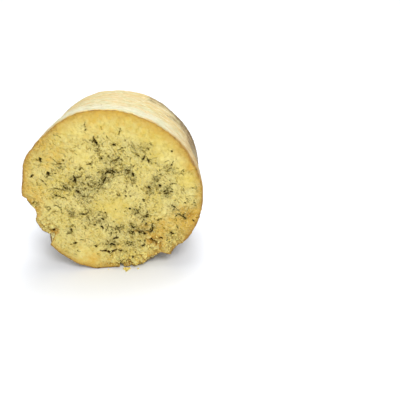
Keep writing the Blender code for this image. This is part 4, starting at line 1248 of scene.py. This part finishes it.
def paste_material(colours):
    """The cut face: creamy paste, ripened rim, clouds and veins of mould, and brown cracks."""
    material, wires, shader = new_material("veined_paste")
    place = wires.place()
    cloud = wires.note("cloud")
    torn = wires.times(wires.note("torn"), wires.ease(cloud, 0.02, 0.35, 0.6, 1.0))
    feeds = {
        "Place": place, "Torn": torn, "Pale": (*colours.cream, 1),
        "Deep": (*colours.butter, 1), "Shade": (*colours.tear, 1),
    }
    curd = wires.group(group_named("Curd Grain", curd_grain_group), feeds)
    rim = wires.note("rim_mm")
    base = ripened_rim(wires, place, wires.note("ripe_mm"), curd.outputs["Color"], colours)

    mottle = wires.noise(place, 0.003)
    uneven = wires.add(wires.noise(place, 0.0052, 4.0, 0.6), -0.5)
    # Golden, amber and pale paints from the tinted parts: mostly ripening, partly painted shadow and painted
    # light.
    tint_edge = wires.add(wires.note("tint"), wires.times(uneven, 1.3))
    solid = wires.ease(curd.outputs["Height"], -0.3, 0.35, 0.35, 1.0)
    golden = wires.times(wires.ease(tint_edge, 0.05, 0.8, 0.0, 0.85), solid)
    base = wires.blend(golden, base, colours.golden)
    base = wires.blend(wires.ease(tint_edge, 0.65, 1.15, 0.0, 0.85), base, colours.amber)
    base = wires.blend(wires.ease(tint_edge, -0.7, -0.05, 0.8, 0.0), base, colours.lump)
    # Amber, then brown, deeper in the seams and crumbled patches: partly the paste's own colour there, partly
    # painted shade in the hollows.
    recess = wires.add(wires.note("recess_mm"), wires.times(mottle, 1.4))
    base = wires.blend(wires.ease(recess, 2.5, 3.4, 0.0, 0.9), base, colours.amber)
    base = wires.blend(wires.ease(recess, 3.7, 5.2, 0.0, 0.95), base, colours.torn)
    # Painted shade in the grain's gaps over the darkened joints, and painted highlight on its crests.
    base = wires.blend(wires.times(wires.note("valley"), 0.7), base, colours.tear)
    base = wires.blend(wires.times(wires.note("crest"), 0.7), base, colours.lump)
    # Painted highlight: lumps that stand proud are painted paler.
    proud = wires.ease(wires.note("proud_mm"), 0.1, 1.9, 0.0, 0.9)
    base = wires.blend(wires.times(proud, wires.ease(mottle, 0.38, 0.6, 0.35, 1.0)), base, colours.lump)
    # Painted shade on the lumps' undersides.
    under = wires.times(wires.note("under"), wires.ease(mottle, 0.3, 0.62, 1.0, 0.5))
    base = wires.blend(under, base, colours.lump_underside_shade)
    # Painted shade in the crease round each lump, most along its underside.
    crease = wires.times(wires.note("crease"), wires.ease(mottle, 0.32, 0.6, 0.45, 1.0))
    base = wires.blend(crease, base, colours.torn)

    patchy = wires.ease(wires.noise(place, 0.0036, 4.0, 0.62), 0.36, 0.64)
    ash = wires.times(wires.ease(cloud, 0.12, 0.8), wires.add(wires.times(patchy, 0.45), 0.12))
    base = wires.blend(ash, base, colours.ash)
    blue = wires.times(wires.ease(cloud, 0.3, 1.0), patchy)
    base = wires.blend(wires.times(blue, 0.6), base, colours.mould_blue)
    power = wires.note("vein_power")
    halo = wires.times(wires.ease(wires.note("vein_mm"), -0.2, 2.2, 0.62, 0.0), wires.ease(power, 0.45, 0.95))
    halo = wires.times(halo, wires.times(wires.ease(cloud, 0.05, 0.4, 0.35, 1.0), wires.ease(patchy, 0.0, 0.7, 0.3, 1.0)))
    base = wires.blend(halo, base, colours.mould_blue)
    threads = wires.times(mould_threads(wires, place), wires.ease(cloud, 0.12, 0.55))
    base = wires.blend(wires.times(threads, 0.5), base, colours.mould_green)
    crumb = wires.ease(wires.noise(place, 0.0017, 3.0, 0.7), 0.53, 0.64)
    crumb = wires.times(crumb, wires.ease(wires.add(cloud, wires.note("torn")), 0.5, 1.6, 0.0, 0.7))
    base = wires.blend(crumb, base, colours.crumb)

    edge = wires.add(vein_edge(wires), wires.times(wires.add(wires.noise(place, 0.0012, 4.0, 0.65), -0.5), 1.5))
    crack = wires.ease(wires.note("crack"), 0.3, 0.7)
    stain_paint = wires.blend(crack, colours.mould_green, colours.torn)
    stain = wires.times(wires.ease(edge, -0.35, 0.7, 0.85, 0.0), wires.ease(power, 0.0, 0.7))
    base = wires.blend(stain, base, stain_paint)
    core_paint = wires.blend(crack, colours.mould_dark, colours.crack)
    core = wires.times(wires.ease(edge, -0.4, 0.2, 0.97, 0.0), wires.ease(power, 0.2, 0.95, 0.15, 1.0))
    base = wires.blend(core, base, core_paint)

    # Painted shade: the rim darkened towards the drum's lower sides, most on the right.
    dusk = wires.times(wires.note("wear"), wires.ease(rim, 0.0, 3.4, 0.26, 0.0))
    base = wires.blend(wires.times(dusk, wires.ease(patchy, 0.0, 1.0, 0.6, 1.0)), base, colours.rim_dusk)
    line_edge = wires.add(rim, wires.times(wires.noise(place, 0.0034, 3.0), 1.7))
    line = wires.ease(line_edge, 0.8, 1.9, 0.85, 0.0)
    line = wires.times(line, wires.ease(wires.noise(place, 0.013, 4.0, 0.65), 0.38, 0.6, 0.12, 0.95))
    base = wires.blend(line, base, colours.rim_line)
    # Painted contact shadow at the foot of the paste.
    wires.feed(shader.inputs["Base Color"], painted_foot_shadow(wires, place, base, colours))

    rough = wires.add(wires.times(wires.noise(place, 0.002), 0.2), 0.42)
    wires.feed(shader.inputs["Roughness"], wires.add(rough, wires.times(core, 0.4)))
    sunk = wires.add(wires.times(core, -0.9), wires.times(threads, -0.7))
    bump(wires, shader, wires.add(curd.outputs["Height"], sunk), 0.0016)
    shader.inputs["Subsurface Weight"].default_value = 0.06
    shader.inputs["Subsurface Radius"].default_value = (0.0030, 0.0016, 0.0006)
    shader.inputs["Subsurface Scale"].default_value = 1.0
    return material


def rind_material(colours):
    """The rind: dry, pale and wrinkled along the drum's turn, and torn to the paste at its bites."""
    material, wires, shader = new_material("pale_rind")
    place = wires.place()
    dry = wires.note("dry")
    bands = wires.noise(wires.stretch(place, 0.35, 3.2, 0.35), 0.024, 3.0)
    bent = wires.bend(place, 0.011, 0.0016)
    streaks = wires.noise(wires.stretch(bent, 0.24, 1.0, 0.24), 0.0032, 4.0, 0.6)
    threads = wires.noise(wires.stretch(bent, 0.2, 1.0, 0.2), 0.0018, 3.0, 0.6)
    fibres = wires.noise(wires.stretch(wires.bend(place, 0.02, 0.002), 0.26, 1.0, 0.26), 0.0024, 4.0, 0.65)
    mottle = wires.noise(place, 0.006, 4.0, 0.6)
    base = wires.blend(wires.ease(bands, 0.42, 0.6), colours.rind_cream, colours.rind_butter)
    behind = wires.note("behind_mm")
    uneven = wires.add(mottle, -0.5)
    near = wires.ease(wires.add(behind, wires.times(uneven, 40.0)), 12.0, 46.0, 0.9, 0.0)
    near = wires.times(near, wires.ease(wires.note("low"), 0.2, 1.0, 1.0, 0.1))
    base = wires.blend(near, base, colours.rind_pale)
    lip = wires.ease(wires.add(behind, wires.times(uneven, 9.0)), 0.2, 4.5, 0.85, 0.0)
    lip_paint = wires.blend(wires.note("low"), colours.rind_lip, colours.rind_tawny)
    base = wires.blend(lip, base, lip_paint)
    peach = wires.times(wires.ease(streaks, 0.48, 0.6), wires.ease(mottle, 0.38, 0.6))
    peach = wires.times(peach, wires.ease(near, 0.2, 0.8, 0.62, 0.3))
    base = wires.blend(peach, base, colours.rind_peach)
    green_bands = wires.noise(wires.stretch(place, 0.5, 1.6, 0.5), 0.017, 4.0, 0.6)
    green = wires.times(wires.ease(green_bands, 0.46, 0.6), wires.ease(streaks, 0.42, 0.56, 1.0, 0.0))
    base = wires.blend(wires.times(green, 0.8), base, colours.rind_green)
    broken = wires.ease(wires.noise(place, 0.012, 3.0), 0.4, 0.58)
    thread = wires.times(wires.ease(threads, 0.52, 0.62), broken)
    base = wires.blend(wires.times(thread, 0.62), base, colours.rind_thread)
    pale = wires.times(wires.ease(threads, 0.34, 0.44, 1.0, 0.0), wires.ease(mottle, 0.4, 0.6))
    base = wires.blend(wires.times(pale, 0.5), base, colours.rind_white)
    # Tan where the rind is dry, and painted shade along its worn sides, most on the right.
    worn = wires.ease(fibres, 0.42, 0.56, 0.45, 1.0)
    base = wires.blend(wires.clamp(wires.times(dry, worn)), base, colours.rind_tan)
    skin = wires.noise(wires.bend(place, 0.012, 0.003), 0.010, 6.0, 0.7)
    grit = wires.noise(place, 0.0022, 4.0, 0.7)
    # Grey-brown dusky skin, with painted shade on the rind's sides, most on the right.
    dusk = wires.add(wires.note("dusk"), wires.times(wires.add(fibres, -0.5), 1.1))
    dusk = wires.add(dusk, wires.times(wires.add(skin, -0.5), 1.8))
    dusk = wires.times(wires.ease(dusk, 0.08, 1.05, 0.0, 0.95), wires.ease(wires.note("dusk"), 0.0, 0.3))
    crust = wires.blend(wires.ease(grit, 0.4, 0.62), colours.rind_dusk, colours.rind_crust)
    base = wires.blend(dusk, base, crust)
    # Brown fibres on the dry, dusky rind, partly painted shade.
    brown = wires.times(wires.ease(wires.add(dry, dusk), 0.2, 1.2), wires.ease(fibres, 0.52, 0.66, 0.0, 0.6))
    base = wires.blend(brown, base, colours.rind_brown)
    weathering_and_shade = wires.add(dry, dusk)
    white = wires.times(wires.ease(fibres, 0.36, 0.46, 0.5, 0.0), wires.ease(weathering_and_shade, 0.3, 1.1, 1.0, 0.1))
    base = wires.blend(white, base, colours.rind_white)
    bloom = wires.ease(wires.noise(wires.bend(place, 0.02, 0.006), 0.022, 6.0, 0.72), 0.5, 0.64, 0.0, 0.6)
    base = wires.blend(wires.times(bloom, wires.ease(weathering_and_shade, 0.3, 1.0)), base, colours.rind_bloom)
    corner = wires.times(wires.note("low"), wires.ease(wires.add(behind, wires.times(uneven, 6.0)), 0.4, 5.0, 0.85, 0.0))
    base = wires.blend(corner, base, colours.rind_tawny)
    fleck = wires.noise(wires.stretch(wires.bend(place, 0.004, 0.0008), 0.55, 1.0, 0.55), 0.0015, 3.0, 0.7)
    fleck = wires.times(wires.ease(fleck, 0.58, 0.68), wires.ease(mottle, 0.42, 0.56, 0.1, 0.75))
    base = wires.blend(fleck, base, colours.rind_tan)
    dots = wires.cells(place, 0.009).outputs["Distance"]
    spots = wires.times(wires.ease(dots, 0.06, 0.14, 0.8, 0.0), wires.ease(mottle, 0.5, 0.6))
    base = wires.blend(spots, base, colours.rind_brown)

    feeds = {
        "Place": place, "Torn": 1.0, "Pale": (*colours.crumb, 1),
        "Deep": (*colours.butter, 1), "Shade": (*colours.rim_dusk, 1),
    }
    torn = wires.group(group_named("Curd Grain", curd_grain_group), feeds)
    ragged = wires.add(wires.noise(place, 0.0045, 5.0, 0.68), -0.5)
    bite = wires.add(wires.note("bite_mm"), wires.times(ragged, 4.0))
    base = wires.blend(wires.ease(bite, 0.5, 1.3, 0.0, 0.8), base, colours.rim_dusk)
    base = wires.blend(wires.ease(bite, 1.3, 2.4), base, torn.outputs["Color"])
    # Painted contact shadow at the foot of the rind.
    wires.feed(shader.inputs["Base Color"], painted_foot_shadow(wires, place, base, colours))

    wires.feed(shader.inputs["Roughness"], wires.add(wires.times(mottle, 0.2), 0.62))
    height = wires.add(wires.times(streaks, 0.9), wires.times(fibres, -1.2))
    height = wires.add(height, wires.times(wires.add(skin, grit), wires.times(dusk, 1.6)))
    height = wires.add(height, wires.times(wires.noise(place, 0.0013, 3.0), 0.6))
    bump(wires, shader, wires.add(height, wires.times(spots, -0.5)), 0.0009)
    shader.inputs["Subsurface Weight"].default_value = 0.06
    shader.inputs["Subsurface Radius"].default_value = (0.003, 0.0018, 0.0008)
    shader.inputs["Subsurface Scale"].default_value = 1.0
    return material


def crumb_material(colours):
    """Loose crumbs: torn paste all round."""
    found = bpy.data.materials.get("loose_crumb")
    if found:
        return found
    material, wires, shader = new_material("loose_crumb")
    place = wires.place()
    feeds = {
        "Place": place, "Torn": 0.7, "Pale": (*colours.lump, 1),
        "Deep": (*colours.butter, 1), "Shade": (*colours.tear, 1),
    }
    curd = wires.group(group_named("Curd Grain", curd_grain_group), feeds)
    patch = wires.ease(wires.noise(place, 0.008, 2.0), 0.5, 0.66, 0.0, 0.4)
    wires.feed(shader.inputs["Base Color"], wires.blend(patch, curd.outputs["Color"], colours.golden))
    wires.feed(shader.inputs["Roughness"], wires.add(wires.times(curd.outputs["Height"], 0.1), 0.5))
    bump(wires, shader, curd.outputs["Height"], 0.0004)
    return material


class CHEESE_OT_half_drum(bpy.types.Operator):
    """Makes the half drum, from its cut face to its own rounded end"""

    bl_idname = "cheese.half_drum"
    bl_label = "Half Drum"

    def execute(self, context):
        sizes = context.scene.half_drum_sizes
        colours = context.scene.cheese_colours
        carver = Carver(sizes)
        bm = plain_drum(sizes, carver)
        for face in bm.faces:
            face.material_index = 0 if all(v.co.y < 0.5 for v in face.verts) else 1
            face.smooth = True
        layers = {name: bm.verts.layers.float.new(name) for name in NOTES}
        for vert in bm.verts:
            carver.carve(vert, layers)
        mesh = bpy.data.meshes.new("half_drum_body")
        bm.to_mesh(mesh)
        bm.free()
        piece = add_piece("half_drum_body", mesh, [paste_material(colours), rind_material(colours)])
        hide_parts(NODE)
        return {"FINISHED"}


# Each loose crumb at the foot of the face: x, y, and size.
CRUMBS = (
    (0.0084, -0.0612, 0.0042),
    (0.0050, -0.0598, 0.0036),
    (0.0072, -0.0640, 0.0024),
    (0.0106, -0.0590, 0.0026),
    (0.0210, -0.0600, 0.0020),
    (-0.0150, -0.0592, 0.0012),
)


def crumb_shape(bm, x, y, size, seed):
    """One torn crumb, flat where it lies."""
    made = bmesh.ops.create_icosphere(bm, subdivisions=4, radius=size / 2)
    for vert in made["verts"]:
        place = vert.co / size
        lump = 1 + 0.24 * noise.noise(place * 2.1 + seed) + 0.34 * noise.noise(place * 4.6 + seed)
        vert.co *= lump
        vert.co.x += x
        vert.co.y += y
        vert.co.z = max(0.0, vert.co.z + size * 0.36)


# Each part of the face that crumbs cling to, in mm: x and height of its middle, radius, and how many.
CLINGING_PARTS = (
    (-3, -83, 9, 26), (8, -82, 9, 30), (20, -84, 8, 34), (30, -80, 8, 26), (40, -68, 7, 16),
    (45, -57, 7, 7), (-78, -33, 8, 14), (-70, -42, 5, 5), (-88, -10, 5, 5), (-8, -72, 9, 12),
    (64, -52, 14, 12), (20, -70, 12, 12),
)
CRUMB_SMALLEST = 0.0011
CRUMB_LARGEST = 0.0034
CRUMB_SUNK = 0.22  # how deep a clinging crumb sits in the face, as a share of its size


def clinging_crumb(bm, place, size, draw):
    """One flaky crumb, flatter one way, turned any way."""
    made = bmesh.ops.create_icosphere(bm, subdivisions=2, radius=size / 2)["verts"]
    seed = Vector((draw.uniform(0, 40), draw.uniform(0, 40), draw.uniform(0, 40)))
    for vert in made:
        spot = vert.co / size
        vert.co *= 1 + 0.75 * noise.noise(spot * 1.7 + seed) + 0.3 * noise.noise(spot * 4.5 + seed)
    bmesh.ops.scale(bm, verts=made, vec=(1, draw.uniform(0.55, 0.9), draw.uniform(0.5, 0.85)))
    turn = Euler((draw.uniform(-0.6, 0.6), draw.uniform(0, math.pi), draw.uniform(-0.6, 0.6)))
    bmesh.ops.rotate(bm, verts=made, matrix=turn.to_matrix())
    bmesh.ops.translate(bm, verts=made, vec=place)


class CHEESE_OT_clinging_crumbs(bpy.types.Operator):
    """Makes the small crumbs that cling to the torn parts of the cut face"""

    bl_idname = "cheese.clinging_crumbs"
    bl_label = "Clinging Crumbs"

    def execute(self, context):
        form = Form(context.scene.half_drum_sizes)
        draw = random.Random(23)
        bm = bmesh.new()
        for middle_x, middle_height, radius, count in CLINGING_PARTS:
            for _ in range(count):
                x = draw.gauss(middle_x, 0.5 * radius) * MM
                height = draw.gauss(middle_height, 0.5 * radius) * MM
                size = CRUMB_SMALLEST + (CRUMB_LARGEST - CRUMB_SMALLEST) * draw.random() ** 2
                angle = math.degrees(math.atan2(height, x))
                if math.hypot(x, height) > form.rim_radius(angle, 0) - 0.8 * size:
                    continue
                y = form.face_y + form.face_depth(x, height) - CRUMB_SUNK * size
                clinging_crumb(bm, (form.axis_x + x, y, form.axis_height + height), size, draw)
        for face in bm.faces:
            face.smooth = True
        mesh = bpy.data.meshes.new("clinging_crumbs")
        bm.to_mesh(mesh)
        bm.free()
        add_piece("clinging_crumbs", mesh, [crumb_material(context.scene.cheese_colours)])
        return {"FINISHED"}


class CHEESE_OT_crumbs(bpy.types.Operator):
    """Makes the loose crumbs that lie against the foot of the cut face"""

    bl_idname = "cheese.crumbs"
    bl_label = "Loose Crumbs"

    def execute(self, context):
        bm = bmesh.new()
        for number, (x, y, size) in enumerate(CRUMBS):
            crumb_shape(bm, x, y, size, END_SEED * (number + 3))
        for face in bm.faces:
            face.smooth = True
        mesh = bpy.data.meshes.new("loose_crumbs")
        bm.to_mesh(mesh)
        bm.free()
        add_piece("loose_crumbs", mesh, [crumb_material(context.scene.cheese_colours)])
        return {"FINISHED"}


# The camera stands where the photograph was taken from.
CAMERA_PLACE = (0.07414, -0.46539, 0.28722)
CAMERA_DOWN = 25.76  # degrees below level
CAMERA_TURN = -3.136  # degrees to the left of +Y
LENS = 36.0
SENSOR = 36.0

FLOOR_HALF_WIDTH = 1.6
FLOOR_FRONT = -1.4
BACK_WALL = 1.3
WALL_HEIGHT = 2.2
COVE = 0.5

# Each light: name, place, what it is aimed at, size, and the setting that holds its power.
LIGHTS = (
    ("key_light", (0.544, -1.28, 1.578), (0.0, 0.0, 0.09), 0.8, "key_power"),
    ("fill_light", (-0.7, -1.0, 0.42), (0.0, 0.0, 0.09), 0.8, "fill_power"),
    ("top_light", (0.06, 0.03, 1.2), (0.0, 0.0, 0.09), 0.5, "top_power"),
    ("back_light", (0.2, 0.45, 1.3), (0.2, 1.3, 0.3), 0.9, "back_power"),
)


def backdrop(colour_value):
    """A floor that curves up into a wall behind."""
    bm = bmesh.new()
    profile = [(FLOOR_FRONT, 0.0), (BACK_WALL - COVE, 0.0)]
    for step in range(1, 13):
        turn = math.pi / 2 * step / 12
        profile.append((BACK_WALL - COVE + COVE * math.sin(turn), COVE * (1 - math.cos(turn))))
    profile.append((BACK_WALL, WALL_HEIGHT))
    rows = [
        [bm.verts.new((side * FLOOR_HALF_WIDTH, y, z)) for y, z in profile] for side in (-1, 1)
    ]
    for i in range(len(profile) - 1):
        bm.faces.new((rows[0][i], rows[1][i], rows[1][i + 1], rows[0][i + 1])).smooth = True
    mesh = bpy.data.meshes.new("backdrop")
    bm.to_mesh(mesh)
    bm.free()
    material, wires, shader = new_material("pale_floor")
    shade = wires.noise(wires.place(), 0.2, 2.0)
    pale = (*colour_value, 1)
    wires.feed(shader.inputs["Base Color"], wires.blend(wires.times(shade, 0.02), pale, (1, 1, 1, 1)))
    shader.inputs["Roughness"].default_value = 0.6
    mesh.materials.append(material)
    floor = bpy.data.objects.new("backdrop", mesh)
    bpy.context.scene.collection.objects.link(floor)


def add_light(name, place, aim, size, power):
    data = bpy.data.lights.new(name, "AREA")
    data.shape = "DISK"
    data.size = size
    data.energy = power
    light = bpy.data.objects.new(name, data)
    light.location = place
    light.rotation_euler = (Vector(aim) - light.location).to_track_quat("-Z", "Y").to_euler()
    bpy.context.scene.collection.objects.link(light)


def add_camera():
    data = bpy.data.cameras.new("camera")
    data.lens = LENS
    data.sensor_width = SENSOR
    data.sensor_fit = "HORIZONTAL"
    data.clip_start = 0.01
    camera = bpy.data.objects.new("camera", data)
    camera.location = CAMERA_PLACE
    camera.rotation_euler = (math.radians(90 - CAMERA_DOWN), 0, math.radians(CAMERA_TURN))
    bpy.context.scene.collection.objects.link(camera)
    bpy.context.scene.camera = camera


class CHEESE_OT_studio(bpy.types.Operator):
    """Makes the plain pale floor, the soft studio lights and the camera"""

    bl_idname = "cheese.studio"
    bl_label = "Studio"

    def execute(self, context):
        settings = context.scene.studio_settings
        backdrop(settings.floor)
        for name, place, aim, size, power in LIGHTS:
            add_light(name, place, aim, size, getattr(settings, power))
        world = bpy.data.worlds.new("studio")
        world.use_nodes = True
        sky = world.node_tree.nodes["Background"]
        sky.inputs["Color"].default_value = (1, 1, 1, 1)
        sky.inputs["Strength"].default_value = settings.sky
        context.scene.world = world
        context.scene.view_settings.view_transform = "Standard"
        add_camera()
        return {"FINISHED"}


class CHEESE_PT_sidebar(bpy.types.Panel):
    bl_idname = "CHEESE_PT_sidebar"
    bl_label = "Blue Cheese"
    bl_space_type = "VIEW_3D"
    bl_region_type = "UI"
    bl_category = "Blue Cheese"

    def draw(self, context):
        layout = self.layout
        for operator in OPERATORS:
            layout.operator(operator.bl_idname)
        for settings in (
            context.scene.half_drum_sizes,
            context.scene.cheese_colours,
            context.scene.studio_settings,
        ):
            for name in settings.__annotations__:
                layout.prop(settings, name)


OPERATORS = (CHEESE_OT_half_drum, CHEESE_OT_clinging_crumbs, CHEESE_OT_crumbs, CHEESE_OT_studio)
CLASSES = (HalfDrumSizes, CheeseColours, StudioSettings, *OPERATORS, CHEESE_PT_sidebar)


def register():
    for each in CLASSES:
        bpy.utils.register_class(each)
    bpy.types.Scene.half_drum_sizes = PointerProperty(type=HalfDrumSizes)
    bpy.types.Scene.cheese_colours = PointerProperty(type=CheeseColours)
    bpy.types.Scene.studio_settings = PointerProperty(type=StudioSettings)


def unregister():
    del bpy.types.Scene.studio_settings
    del bpy.types.Scene.cheese_colours
    del bpy.types.Scene.half_drum_sizes
    for each in reversed(CLASSES):
        bpy.utils.unregister_class(each)


def main():
    register()
    bpy.ops.cheese.half_drum()
    bpy.ops.cheese.clinging_crumbs()
    bpy.ops.cheese.crumbs()
    bpy.ops.cheese.studio()


if __name__ == "__main__":
    main()
